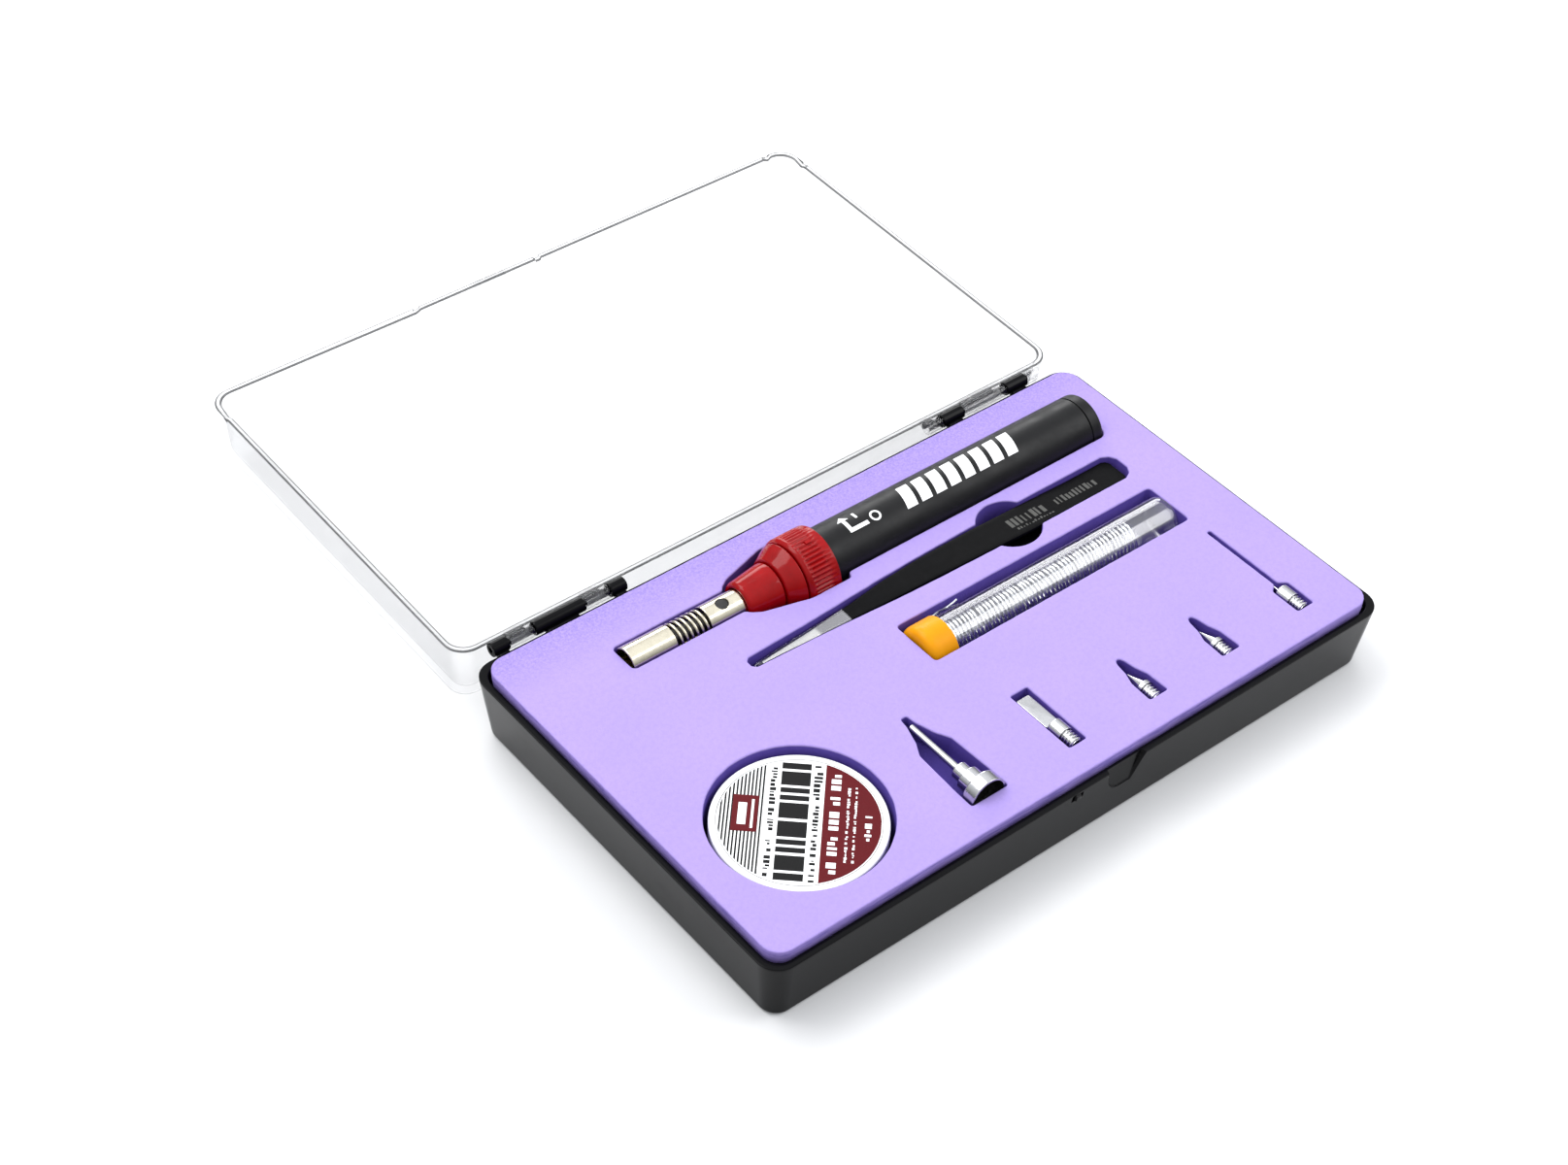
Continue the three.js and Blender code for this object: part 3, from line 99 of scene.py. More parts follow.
def evenly(loop, spacing):
    """A closed outline sampled again at equal steps along its length."""
    ring = np.concatenate([loop, loop[:1]])
    run = np.concatenate([[0], np.cumsum(np.linalg.norm(np.diff(ring, axis=0), axis=1))])
    count = max(12, int(round(run[-1] / spacing)))
    at = np.arange(count) * run[-1] / count
    return np.stack([np.interp(at, run, ring[:, k]) for k in range(2)], 1)


def pushed_out(loop, distance):
    """An anticlockwise outline moved out along the normal to the line between each point's neighbours."""
    along = unit(np.roll(loop, -1, 0) - np.roll(loop, 1, 0))
    return loop + np.asarray(distance)[..., None] * np.stack([along[:, 1], -along[:, 0]], 1)


def round_rectangle(half_x, half_y, radius, sides=((), (), (), ()), steps=8):
    """Rings round rectangles, anticlockwise from the +X side: a quarter circle at each corner, with extra
    points at given fractions of the four sides (+Y, -X, -Y, +X). Sizes may be arrays, one ring for each."""
    half_x, half_y, radius = np.broadcast_arrays(*np.atleast_1d(half_x, half_y, radius))
    rings = []
    for quarter, (sx, sy) in enumerate([(1, 1), (-1, 1), (-1, -1), (1, -1)]):
        angle = (quarter + np.linspace(0, 1, steps + 1)) * TURN / 4
        x = sx * (half_x - radius)[:, None] + radius[:, None] * np.cos(angle)
        y = sy * (half_y - radius)[:, None] + radius[:, None] * np.sin(angle)
        rings.append(np.stack([x, y], -1))
    parts = []
    for k, fractions in enumerate(sides):
        start, end = rings[k][:, -1:], rings[(k + 1) % 4][:, :1]
        share = np.asarray(fractions, float)[None, :, None]
        parts += [rings[k], start + (end - start) * share]
    return np.concatenate(parts, 1)


# ---- Surfaces ----
def skin(grid, wrap_rows=False, wrap_columns=True, shut=True):
    """Four-sided faces between the neighbours of a grid of points. Where the surface is shut, its faces are
    turned so that the volume that they hold, the sum of a . (b x c) over the triangles, is positive."""
    rows, columns = grid.shape[:2]
    i, j = np.meshgrid(
        np.arange(rows if wrap_rows else rows - 1), np.arange(columns if wrap_columns else columns - 1),
        indexing="ij"
    )
    i, j = i.ravel(), j.ravel()
    below, right = (i + 1) % rows, (j + 1) % columns
    faces = np.stack(
        [i * columns + j, i * columns + right, below * columns + right, below * columns + j], 1
    )
    points = grid.reshape(-1, 3)
    if shut:
        a, b, c, d = (points[faces[:, k]] - points.mean(0) for k in range(4))
        volume = np.einsum("ij,ij->", a, np.cross(b, c)) + np.einsum("ij,ij->", a, np.cross(c, d))
        if volume < 0:
            faces = faces[:, ::-1]
    return points, faces


def ended(grid):
    """A grid of rings with both ends drawn in to the middle of the end ring."""
    first = np.broadcast_to(grid[0].mean(0), grid[0].shape)
    last = np.broadcast_to(grid[-1].mean(0), grid[-1].shape)
    return np.concatenate([first[None], grid, last[None]])


def turned(profile, axis, centre, count=72, ripple=None):
    """A profile of [along, radius] pairs turned about an axis through `centre`. The point at angle a is at
    radius * (cos a, sin a) across the axis. `ripple(along, a)` is added to the radius. A profile that keeps
    off the axis at both ends is closed on itself."""
    along, radius = np.asarray(profile, float).T
    angle = np.arange(count) * TURN / count
    reach = np.repeat(radius[:, None], count, 1)
    if ripple is not None:
        reach = reach + ripple(along[:, None], angle[None, :]) * (radius[:, None] > 0)
    main = "xyz".index(axis)
    grid = np.empty((len(along), count, 3))
    grid[..., main] = along[:, None]
    grid[..., (main + 1) % 3] = reach * np.cos(angle)
    grid[..., (main + 2) % 3] = reach * np.sin(angle)
    hollow = radius[0] > 0 and radius[-1] > 0
    return skin(grid + np.asarray(centre, float), wrap_rows=hollow)


def rod(start, end, radius, axis, centre, edge=0.2, count=40):
    """A round bar with softened edges."""
    profile = softened([[start, 0], [start, radius], [end, radius], [end, 0]], edge, 3)
    return turned(profile, axis, centre, count)


def pipe(start, end, outer, inner, axis, centre, edge=0.15, count=64):
    """A round tube with softened edges."""
    profile = softened([[start, inner], [start, outer], [end, outer], [end, inner]], edge, 3, closed=True)
    return turned(profile, axis, centre, count)


def wire(path, radius, up, sides=10):
    """A round wire carried along a path. Its section lies across the path, with its first axis square to
    `up`, and it narrows to the path's own points at its two ends."""
    ahead = unit(np.gradient(path, axis=0))
    across = unit(np.cross(ahead, up))
    third = np.cross(across, ahead)
    angle = (np.arange(sides) * TURN / sides)[None, :, None]
    ring = path[:, None] + radius * (np.cos(angle) * across[:, None] + np.sin(angle) * third[:, None])
    return skin(ended(ring))


def block(low, high, edge=0.3, corner=0.6):
    """A box with softened edges: rings of a round rectangle, drawn in by `edge` at the bottom and the top."""
    low, high = np.asarray(low, float), np.asarray(high, float)
    half = (high - low) / 2
    edge = min(edge, 0.45 * half.min())
    corner = min(max(corner, edge * 1.1), 0.9 * half[:2].min())
    t = np.linspace(0, 1, 4) * TURN / 4
    inset = np.concatenate([edge * (1 - np.sin(t)), edge * (1 - np.cos(t))])
    z = np.concatenate([-half[2] + edge * (1 - np.cos(t)), half[2] - edge * (1 - np.sin(t))])
    rings = round_rectangle(half[0] - inset, half[1] - inset, corner - 0.8 * inset, steps=4)
    height = np.broadcast_to(z[:, None, None], rings.shape[:2] + (1,))
    return skin(ended(np.concatenate([rings, height], 2) + (low + high) / 2))


def plate(outline, low, high, edge, to_space):
    """A flat plate with a free outline: rings of the outline, drawn in at both faces, then taken to their
    place by `to_space`, which turns [x, y, height] into a point."""
    inset = np.array([edge, 0.3 * edge, 0, 0, 0.3 * edge, edge])
    height = np.array([low, low + 0.3 * edge, low + edge, high - edge, high - 0.3 * edge, high])
    rings = np.stack([pushed_out(outline, -np.full(len(outline), d)) for d in inset])
    flat = np.concatenate([rings, np.broadcast_to(height[:, None, None], rings.shape[:2] + (1,))], 2)
    return skin(to_space(ended(flat)))


def raised(place, u, v, height=0.035):
    """A thin mark printed on a surface. `place(u, v, h)` is the point h above the surface, and the outermost
    row and column of the mark dip under it."""
    u, v = np.pad(u, 1, mode="edge"), np.pad(v, 1, mode="edge")
    lift = np.full(u.shape, height)
    lift[[0, -1], :] = -height
    lift[:, [0, -1]] = -height
    grid = place(u, v, lift)
    points, faces = skin(grid, wrap_columns=False, shut=False)
    normal = np.cross(grid[2, 1] - grid[1, 1], grid[1, 2] - grid[1, 1])
    outward = (place(u, v, lift + 1) - grid)[1, 1]
    return points, faces if normal @ outward < 0 else faces[:, ::-1]


def waves(x, y, seed, scale):
    """A smooth irregular value from -1 to 1: the mean of five sine waves in seeded directions."""
    rng = np.random.default_rng(seed)
    total = 0
    for _ in range(5):
        angle, phase, stretch = rng.uniform(0, TURN), rng.uniform(0, TURN), rng.uniform(0.6, 1.7)
        total = total + np.sin((x * math.cos(angle) + y * math.sin(angle)) * TURN * stretch / scale + phase)
    return total / 5


# ---- From surfaces to pieces ----
def piece(name, body, shells, paints, stands_for=(), sharp=38, mend=False):
    """One object made of shells, in place, with its own paints. A shell is (points, faces) and may add the
    number of its paint."""
    paints = paints if isinstance(paints, (list, tuple)) else [paints]
    points, faces, kinds, start = [], [], [], 0
    for shell in shells:
        points.append(shell[0])
        faces += (np.asarray(shell[1]) + start).tolist()
        kinds += np.broadcast_to(shell[2] if len(shell) > 2 else 0, len(shell[1])).tolist()
        start += len(shell[0])
    mesh = bpy.data.meshes.new(name)
    mesh.from_pydata((np.concatenate(points) * MM).tolist(), [], faces)
    for one in paints:
        mesh.materials.append(one)
    mesh.polygons.foreach_set("material_index", kinds)
    work = bmesh.new()
    work.from_mesh(mesh)
    bmesh.ops.remove_doubles(work, verts=work.verts, dist=1.5e-6)
    if mend:
        bmesh.ops.recalc_face_normals(work, faces=work.faces)
    work.to_mesh(mesh)
    work.free()
    mesh.shade_smooth()
    mesh.set_sharp_from_angle(angle=math.radians(sharp))
    made = bpy.data.objects.new(name, mesh)
    bpy.context.scene.collection.objects.link(made)
    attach(made, body)
    if stands_for:
        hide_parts(*stands_for)
    return made


# ---- Paints ----
class Paint:
    """A material on one Principled shader, with its patterns on the object's own coordinates."""

    def __init__(self, name, colour, rough, metal=0.0, **sockets):
        self.material = bpy.data.materials.new(name)
        self.material.use_nodes = True
        self.tree = self.material.node_tree
        self.shader = self.tree.nodes["Principled BSDF"]
        sockets = {"Base_Color": (*colour, 1), "Roughness": rough, "Metallic": metal, **sockets}
        for socket, value in sockets.items():
            self.shader.inputs[socket.replace("_", " ")].default_value = value
        self.colour = self.normal = None

    def node(self, kind, **values):
        """A new node. Each value is one of its settings or, with _ for a space, one of its sockets."""
        made = self.tree.nodes.new(kind)
        for key, value in values.items():
            if hasattr(made, key):
                setattr(made, key, value)
            else:
                made.inputs[key.replace("_", " ")].default_value = value
        return made

    def join(self, start, end):
        self.tree.links.new(start, end)

    def math(self, operation, first, second):
        """Two values added or multiplied."""
        made = self.node("ShaderNodeMath", operation=operation)
        self.join(first, made.inputs[0])
        self.join(second, made.inputs[1])
        return made.outputs[0]

    def pattern(self, kind, size, stretch=(1, 1, 1), turn=(0, 0, 0), **values):
        """A texture whose features are about `size` millimetres across, stretched and turned."""
        mapping = self.node("ShaderNodeMapping", Scale=stretch, Rotation=turn)
        self.join(self.node("ShaderNodeTexCoord").outputs["Object"], mapping.inputs["Vector"])
        made = self.node(kind, Scale=1 / (size * MM), **values)
        self.join(mapping.outputs["Vector"], made.inputs["Vector"])
        return made

    def cloud(self, size, detail=4, rough=0.6, stretch=(1, 1, 1), turn=(0, 0, 0)):
        """Soft noise."""
        return self.pattern(
            "ShaderNodeTexNoise", size, stretch, turn, Detail=detail, Roughness=rough
        ).outputs["Fac"]

    def cells(self, size):
        """Distance from the middle of the nearest cell."""
        return self.pattern("ShaderNodeTexVoronoi", size).outputs["Distance"]

    def axis(self, name):
        """One coordinate of the object's own space, in metres."""
        split = self.node("ShaderNodeSeparateXYZ")
        self.join(self.node("ShaderNodeTexCoord").outputs["Object"], split.inputs[0])
        return split.outputs[name]

    def span(self, value, low, high, to_low=0.0, to_high=1.0):
        """A value taken from one range to another and kept inside it."""
        made = self.node("ShaderNodeMapRange", From_Min=low, From_Max=high, To_Min=to_low, To_Max=to_high)
        self.join(value, made.inputs["Value"])
        return made.outputs["Result"]

    def tint(self, mask, colour, share=1.0):
        """Lays a colour over what is there, as far as a mask says."""
        mix = self.node("ShaderNodeMix", data_type="RGBA")
        factor, under, over = mix.inputs[0], mix.inputs[6], mix.inputs[7]
        if self.colour is None:
            under.default_value = self.shader.inputs["Base Color"].default_value
        else:
            self.join(self.colour, under)
        over.default_value = (*colour, 1)
        self.join(self.span(mask, 0, 1, 0, share) if share < 1 else mask, factor)
        self.colour = mix.outputs[2]
        self.join(self.colour, self.shader.inputs["Base Color"])
        return self

    def blotch(self, size, colour, share=0.6, low=0.4, high=0.75, detail=4, rough=0.6):
        """Lays soft-edged blotches of a colour, where soft noise passes from low to high."""
        return self.tint(self.span(self.cloud(size, detail, rough), low, high), colour, share)

    def sheen_range(self, value, low, high, smooth, dull):
        """Roughness that follows a pattern."""
        self.join(self.span(value, low, high, smooth, dull), self.shader.inputs["Roughness"])
        return self

    def relief(self, height, depth, strength=1.0):
        """Bump from a pattern, `depth` millimetres deep, on top of any that is there."""
        bump = self.node("ShaderNodeBump", Strength=strength, Distance=depth * MM)
        self.join(height, bump.inputs["Height"])
        if self.normal is not None:
            self.join(self.normal, bump.inputs["Normal"])
        self.normal = bump.outputs["Normal"]
        self.join(self.normal, self.shader.inputs["Normal"])
        return self


def scratched(paint, colour, share, size=14.0):
    """Fine straight scratches in two directions, lighter than the paint."""
    for turn in (0.5, 2.2):
        lines = paint.cloud(size, 6, 0.75, (1, 38, 1), (0, 0, turn))
        paint.tint(paint.span(lines, 0.66, 0.72), colour, share)
    return paint


def black_styrene():
    paint = Paint("black_styrene", (0.0016, 0.0016, 0.0019), 0.14, Specular_IOR_Level=0.09)
    scratched(paint, (0.009, 0.009, 0.010), 0.35)
    paint.sheen_range(paint.cloud(22, 5), 0.35, 0.7, 0.10, 0.24)
    return paint.relief(paint.cloud(9, 2), 0.03, 0.35).material


def clear_film(name, grey, thin, thick):
    """Thin clear plastic: most light passes, less where the surface is seen edge on, and the rest mirrors
    the room. Lamp light on its way to what lies behind is held back far less."""
    paint = Paint(name, (grey, grey, grey * 1.02), 0.05, 1.0)
    facing = paint.node("ShaderNodeLayerWeight", Blend=0.5).outputs["Facing"]
    hairlines = paint.cloud(16.0, 6, 0.75, (1, 34, 1), (0, 0, 0.6))
    share = paint.math(
        "ADD", paint.span(facing, 0.4, 0.95, thin, thick), paint.span(hairlines, 0.68, 0.74, 0, 0.03)
    )
    lamp_light = paint.node("ShaderNodeLightPath").outputs["Is Shadow Ray"]
    held = paint.math("MULTIPLY", share, paint.span(lamp_light, 0, 1, 1.0, 0.25))
    paint.join(held, paint.shader.inputs["Alpha"])
    return paint.relief(paint.cloud(30, 3), 0.03, 0.3).material


def lavender_foam(name, top, cut_deep):
    """Cross-linked foam: a smooth pale skin, fine closed cells, a grainy darker band along the hinge side
    that is painted shade and, where a pocket is cut, the cut wall's own deeper violet under the skin, then
    painted shade that deepens with the depth."""
    paint = Paint(name, (0.295, 0.225, 0.52), 0.8, Specular_IOR_Level=0.3)
    depth = paint.axis("Z")
    paint.blotch(26, (0.33, 0.245, 0.56), 0.6, 0.35)
    paint.blotch(1.1, (0.25, 0.185, 0.47), 0.35, 0.42, 0.66, 3, 0.7)
    # Painted shade: a grainy darker band across the foam's top towards the hinge side.
    hinge_side_shade = paint.span(paint.axis("Y"), 42 * MM, 57 * MM)
    band = paint.math("MULTIPLY", hinge_side_shade, paint.span(paint.cloud(0.6, 5, 0.8), 0.4, 0.62))
    paint.tint(band, (0.15, 0.11, 0.34), 0.75)
    if cut_deep:
        paint.tint(paint.span(depth, (top - 0.2) * MM, (top - 0.55) * MM), (0.075, 0.045, 0.28))
        # Painted shade: the pocket walls darken from 3 mm to 11 mm below the top.
        paint.tint(paint.span(depth, (top - 3) * MM, (top - 11) * MM), (0.03, 0.017, 0.15), 0.9)
    else:
        grain = paint.cloud(1.3, 4, 0.7, (0.12, 0.12, 1))
        paint.tint(paint.span(depth, (top - 0.15) * MM, (top - 0.4) * MM), (0.24, 0.175, 0.50), 0.75)
        on_side = paint.span(depth, (top - 0.3) * MM, (top - 0.6) * MM)
        paint.tint(paint.math("MULTIPLY", on_side, paint.span(grain, 0.48, 0.6)), (0.13, 0.095, 0.36), 0.7)
    paint.relief(paint.span(paint.cells(0.55), 0.0, 0.55), 0.06, 0.5)
    paint.relief(paint.cloud(2.4, 5, 0.65), 0.10, 0.4)
    return paint.relief(paint.cloud(40, 2), 0.5, 0.25).material


def satin_black():
    paint = Paint("satin_black", (0.003, 0.003, 0.0032), 0.38, Specular_IOR_Level=0.2)
    paint.blotch(5, (0.007, 0.007, 0.0072), 0.6, 0.45, 0.75, 6, 0.7)
    scratched(paint, (0.03, 0.03, 0.03), 0.4, 9.0)
    paint.sheen_range(paint.cloud(7, 5), 0.3, 0.75, 0.30, 0.52)
    return paint.relief(paint.cloud(0.5, 3), 0.012, 0.5).material


def red_plastic():
    paint = Paint("red_plastic", (0.26, 0.0012, 0.002), 0.12, Specular_IOR_Level=0.17)
    paint.blotch(6, (0.15, 0.001, 0.0015))
    paint.sheen_range(paint.cloud(4, 4), 0.35, 0.7, 0.08, 0.18)
    return paint.relief(paint.cloud(3, 2), 0.02, 0.35).material


def plated(name, colour, rough, stretch=(1, 1, 1)):
    """Plated or turned metal: fine tool lines run across `stretch`, with faint stains."""
    paint = Paint(name, colour, rough, 1.0)
    paint.blotch(3.5, tuple(c * 0.62 for c in colour), 0.5, 0.48, 0.78, 5, 0.7)
    lines = paint.cloud(1.6, 4, 0.7, stretch)
    paint.sheen_range(lines, 0.3, 0.7, rough * 0.7, rough * 1.5)
    return paint.relief(lines, 0.008, 0.5).material


def coated_tweezers(tip_x):
    """Black coating over steel: bare and bright at the points, greyer where the coating ends."""
    paint = Paint("coated_tweezers", (0.0022, 0.0022, 0.0024), 0.40, Specular_IOR_Level=0.045)
    wander = paint.node("ShaderNodeMath", operation="MULTIPLY_ADD")
    paint.join(paint.cloud(2.5, 3), wander.inputs[0])
    wander.inputs[1].default_value = 0.8 * MM
    paint.join(paint.axis("X"), wander.inputs[2])
    line = wander.outputs[0]
    grey = paint.span(line, (tip_x + 27.4) * MM, (tip_x + 27.0) * MM)
    bare = paint.span(line, (tip_x + 18.5) * MM, (tip_x + 17.5) * MM)
    paint.blotch(2.0, (0.004, 0.004, 0.0045), 0.7, 0.45, 0.75, 5)
    scratched(paint, (0.015, 0.015, 0.015), 0.3, 7.0)
    paint.tint(grey, (0.20, 0.20, 0.205))
    paint.tint(bare, (0.52, 0.52, 0.50))
    paint.join(bare, paint.shader.inputs["Metallic"])
    paint.sheen_range(paint.cloud(3, 5, 0.6, (0.2, 1, 1)), 0.3, 0.75, 0.28, 0.46)
    return paint.relief(paint.cloud(0.9, 3, 0.6, (0.1, 1, 1)), 0.01, 0.5).material


def orange_plastic():
    paint = Paint("orange_plastic", (0.66, 0.26, 0.001), 0.34, Specular_IOR_Level=0.12)
    paint.blotch(5, (0.58, 0.21, 0.001))
    paint.sheen_range(paint.cloud(3, 4), 0.35, 0.7, 0.3, 0.46)
    return paint.relief(paint.cloud(2, 3), 0.03, 0.4).material


def white_plastic():
    paint = Paint("white_plastic", (0.82, 0.82, 0.80), 0.32)
    paint.blotch(9, (0.76, 0.76, 0.73), 0.7)
    paint.sheen_range(paint.cloud(5, 4), 0.35, 0.7, 0.24, 0.42)
    return paint.relief(paint.cloud(4, 2), 0.03, 0.35).material


def printed_ink(name, colour):
    paint = Paint(name, colour, 0.42, Specular_IOR_Level=0.12)
    paint.blotch(1.2, tuple(c * 0.8 for c in colour), 0.6, 0.5, 0.8)
    return paint.relief(paint.cloud(0.4, 2), 0.006, 0.4).material


def label_paper():
    paint = Paint("label_paper", (0.83, 0.83, 0.82), 0.34)
    paint.blotch(6, (0.78, 0.78, 0.76))
    paint.sheen_range(paint.cloud(8, 3), 0.35, 0.7, 0.26, 0.4)
    return paint.relief(paint.cloud(0.35, 3), 0.008, 0.5).material


def plain(name, colour, rough, metal=0.0, grain=1.0):
    """A quiet finish for the small inner pieces."""
    paint = Paint(name, colour, rough, metal)
    paint.blotch(2.0, tuple(c * 0.7 for c in colour), 0.6, 0.45)
    paint.sheen_range(paint.cloud(1.5, 4), 0.3, 0.7, rough * 0.8, min(1, rough * 1.25))
    return paint.relief(paint.cloud(0.5, 3), 0.02 * grain, 0.5).material


# ---- Case ----
CASE_HALF = (100.0, 60.0)
BASE_HEIGHT = 19.3
BASE_DRAFT = 2.25
WALL = 2.0
CASE_CORNER = 6.0
NOTCH = {"left": 3.3, "right_low": 11.9, "right_high": 15.2, "low": 11.2, "face": -58.8}
LATCH_X = -7.0
HINGE_SPREAD = 71.3
HINGE_RUN_GAP = 0.3
KNUCKLE = {"radius": 1.95, "long": 15.2, "mid": 7.4, "short": 4.8}
LID_TILT = math.radians(1.455)
LID_RIM = -0.15
LID_NEAR = 2.7
LID_FAR = LID_NEAR + 2 * CASE_HALF[1]


def side_shares(half, wanted):
    """Fractions of a straight side of the case that put points at wanted places along it."""
    span = 2 * (half - CASE_CORNER)
    return (np.asarray(wanted) + span / 2) / span


def smooth_step(value):
    t = np.clip(value, 0, 1)
    return t * t * (3 - 2 * t)


def tray_grid(profile, sides, middle_y):
    """Rings of the case's plan, one for each [inset, height] of the profile."""
    inset, height = profile.T
    radius = np.maximum(CASE_CORNER - 0.6 * inset, 1.2)
    rings = round_rectangle(CASE_HALF[0] - inset, CASE_HALF[1] - inset, radius, sides)
    rings = rings + np.array([0, middle_y])
    lift = np.broadcast_to(height[:, None, None], rings.shape[:2] + (1,))
    return np.concatenate([rings, lift], 2)


def base_tray():
    """The black tray. Its profile runs from the middle of the underside up the outer wall, over the rim and
    down to the middle of the floor. In the thumb notch the outer wall is pushed in to one upright face, and
    beside the catch it is pushed in at two slots and out between them."""
    foot = softened([[30, 0], [BASE_DRAFT, 0], [BASE_DRAFT - 0.35, 3]], 1.5, 5)
    fine = np.stack([np.linspace(BASE_DRAFT - 0.35, 0.02, 62), np.linspace(3, BASE_HEIGHT - 0.6, 62)], 1)
    rim = softened(
        [[0.02, 18.7], [0, BASE_HEIGHT], [WALL, BASE_HEIGHT], [WALL + 2, 2], [30, 2]], [0, 0.4, 0.3, 0.8, 0]
    )
    profile = np.concatenate([foot, fine[1:-1], rim])
    front = np.unique(np.concatenate([np.arange(-10, -3.5, 0.18), np.arange(2.6, 16.6, 0.22)]))
    sides = ((), (), side_shares(CASE_HALF[0], front), ())
    grid = tray_grid(profile, sides, 0.0)
    x, y, z = np.moveaxis(grid, -1, 0)
    outer = (np.arange(len(profile)) < len(foot) + len(fine) + 10)[:, None]
    t = np.clip((z - NOTCH["low"]) / (BASE_HEIGHT - NOTCH["low"]), 0, 1)
    left = NOTCH["left"] + 5 * (1 - np.sqrt(1 - (1 - t) ** 2))
    right = NOTCH["right_low"] + (NOTCH["right_high"] - NOTCH["right_low"]) * t
    inside = np.minimum(np.minimum(x - left, right - x), z - NOTCH["low"])
    mask = smooth_step(inside / 0.3 + 0.5) * outer
    grid[..., 1] += mask * np.maximum(0, NOTCH["face"] - y) * (y < 0)
    slot_z = smooth_step((z - 16.8) / 0.2 + 0.5) * smooth_step((18.4 - z) / 0.2 + 0.5)
    for offset in (-1.3, 1.3):
        slot_x = smooth_step((0.45 - np.abs(x - LATCH_X - offset)) / 0.2 + 0.5)
        grid[..., 1] += 0.7 * slot_x * slot_z * outer * (y < -50)
    lug = smooth_step((0.85 - np.abs(x - LATCH_X)) / 0.2 + 0.5) * slot_z
    grid[..., 1] -= 0.5 * lug * outer * (y < -50)
    return skin(ended(grid))


def knuckle_spans(owner):
    """Start and end of each hinge barrel that belongs to the base or to the lid."""
    half = KNUCKLE["long"] / 2
    mid = half + HINGE_RUN_GAP
    short = mid + KNUCKLE["mid"] + HINGE_RUN_GAP
    odd = [(-half, half), (-short - KNUCKLE["short"], -short), (short, short + KNUCKLE["short"])]
    even = [(-mid - KNUCKLE["mid"], -mid), (mid, mid + KNUCKLE["mid"])]
    left, right = (odd, even) if owner == "base" else (even, odd)
    return [(a - HINGE_SPREAD, b - HINGE_SPREAD) for a, b in left] + [
        (a + HINGE_SPREAD, b + HINGE_SPREAD) for a, b in right
    ]


HINGE_AT = np.array([0, 62.7, 19.45])


def make_case_base(paint):
    shells = [base_tray()]
    lid_ends = np.array(knuckle_spans("lid")).ravel()
    for start, end in knuckle_spans("base"):
        inset = (end - start) * 0.18
        shells.append(rod(start, end, KNUCKLE["radius"], "x", HINGE_AT, 0.3, 36))
        low = [start + inset, 58.6, HINGE_AT[2] - KNUCKLE["radius"]]
        shells.append(block(low, [end - inset, HINGE_AT[1], BASE_HEIGHT], 0.25, 0.4))
        reach = [0.9 * (np.abs(lid_ends - at).min() < 0.6) for at in (start, end)]
        shells.append(rod(start - reach[0], end + reach[1], 0.85, "x", HINGE_AT, 0.15, 24))
    return piece("case_tray", "case_base", shells, paint, ["case_base"])


def lid_place(points):
    """Turns the lid's own frame, hinge axis at the origin and rim up, to where it lies open."""
    c, s = math.cos(LID_TILT), math.sin(LID_TILT)
    x, y, z = np.moveaxis(np.asarray(points, float), -1, 0)
    return np.stack([x, c * y - s * z, s * y + c * z], -1) + HINGE_AT


def lid_shell():
    """The clear lid: the profile runs from the middle of its outside up the outer wall, over the rim and down
    to the middle of its inside. Short gaps dip into the rim."""
    rim, draft, wall = LID_RIM, 1.4, 1.6
    floor = rim - 18.0
    profile = softened(
        [
            [40, floor], [draft, floor], [0, rim], [wall, rim], [wall + draft * 0.9, floor + wall],
            [40, floor + wall]
        ],
        [0, 1.6, 0.45, 0.45, 1.2, 0], 6
    )
    gaps = np.array([-33.0, 8.0, 92.0])
    far = np.sort((gaps[:, None] + np.array([-1.0, -0.8, 0.8, 1.0])).ravel())[::-1]
    far_share = side_shares(CASE_HALF[0], -far)
    left = side_shares(CASE_HALF[1], [-51, -50.8, -49.2, -49])
    sides = (far_share, np.sort(left), (), np.sort(1 - left))
    grid = tray_grid(profile, sides, LID_NEAR + CASE_HALF[1])
    x, y, z = np.moveaxis(grid, -1, 0)
    at_far = (y > LID_FAR - 3)[..., None] & (np.abs(x[..., None] - gaps) < 0.9)
    at_side = (np.abs(np.abs(x) - 98) < 3) & (np.abs(y - (LID_FAR - 10)) < 0.9)
    dip = (at_far.any(-1) | at_side) & (z > rim - 0.6)
    grid[..., 2] -= 0.7 * dip
    points, faces = skin(lid_place(ended(grid)))
    inset, height = profile.T
    # Painted shade: faces along the rim's outer and inner edges take the second paint, a dark, nearly solid
    # film.
    edge = (height > rim - 0.5) & ((inset < 0.47) | ((inset > wall - 0.47) & (inset < wall + 0.3)))
    painted_edge_rows = np.concatenate([[False], edge[:-1] & edge[1:], [False]])
    return points, faces, np.repeat(painted_edge_rows.astype(int), grid.shape[1])


def lid_tab():
    """The snap tab: a wide foot on the lid's far wall that narrows to a finger above the rim."""
    rim, far = LID_RIM, LID_FAR
    right = np.array([[5.5, rim - 4], [5.5, rim - 0.3], [2.6, rim + 2.6], [2.2, rim + 3.4], [2.2, rim + 6]])
    outline = np.concatenate([right, right[::-1] * [-1, 1]])
    round_off = [0.3, 1.2, 0.8, 0.4, 1.0]
    loop = evenly(softened(outline, round_off + round_off[::-1], 5, closed=True), 0.35)

    def to_space(flat):
        x, z, out = np.moveaxis(flat, -1, 0)
        return lid_place(np.stack([x + LATCH_X, far + 0.85 + out, z], -1))

    tab = plate(loop, 0, 1.0, 0.25, to_space)
    points, faces = block([LATCH_X - 5.5, far - 1, rim - 4], [LATCH_X + 5.5, far + 1.05, rim - 0.6], 0.3)
    return [tab, (lid_place(points), faces)]


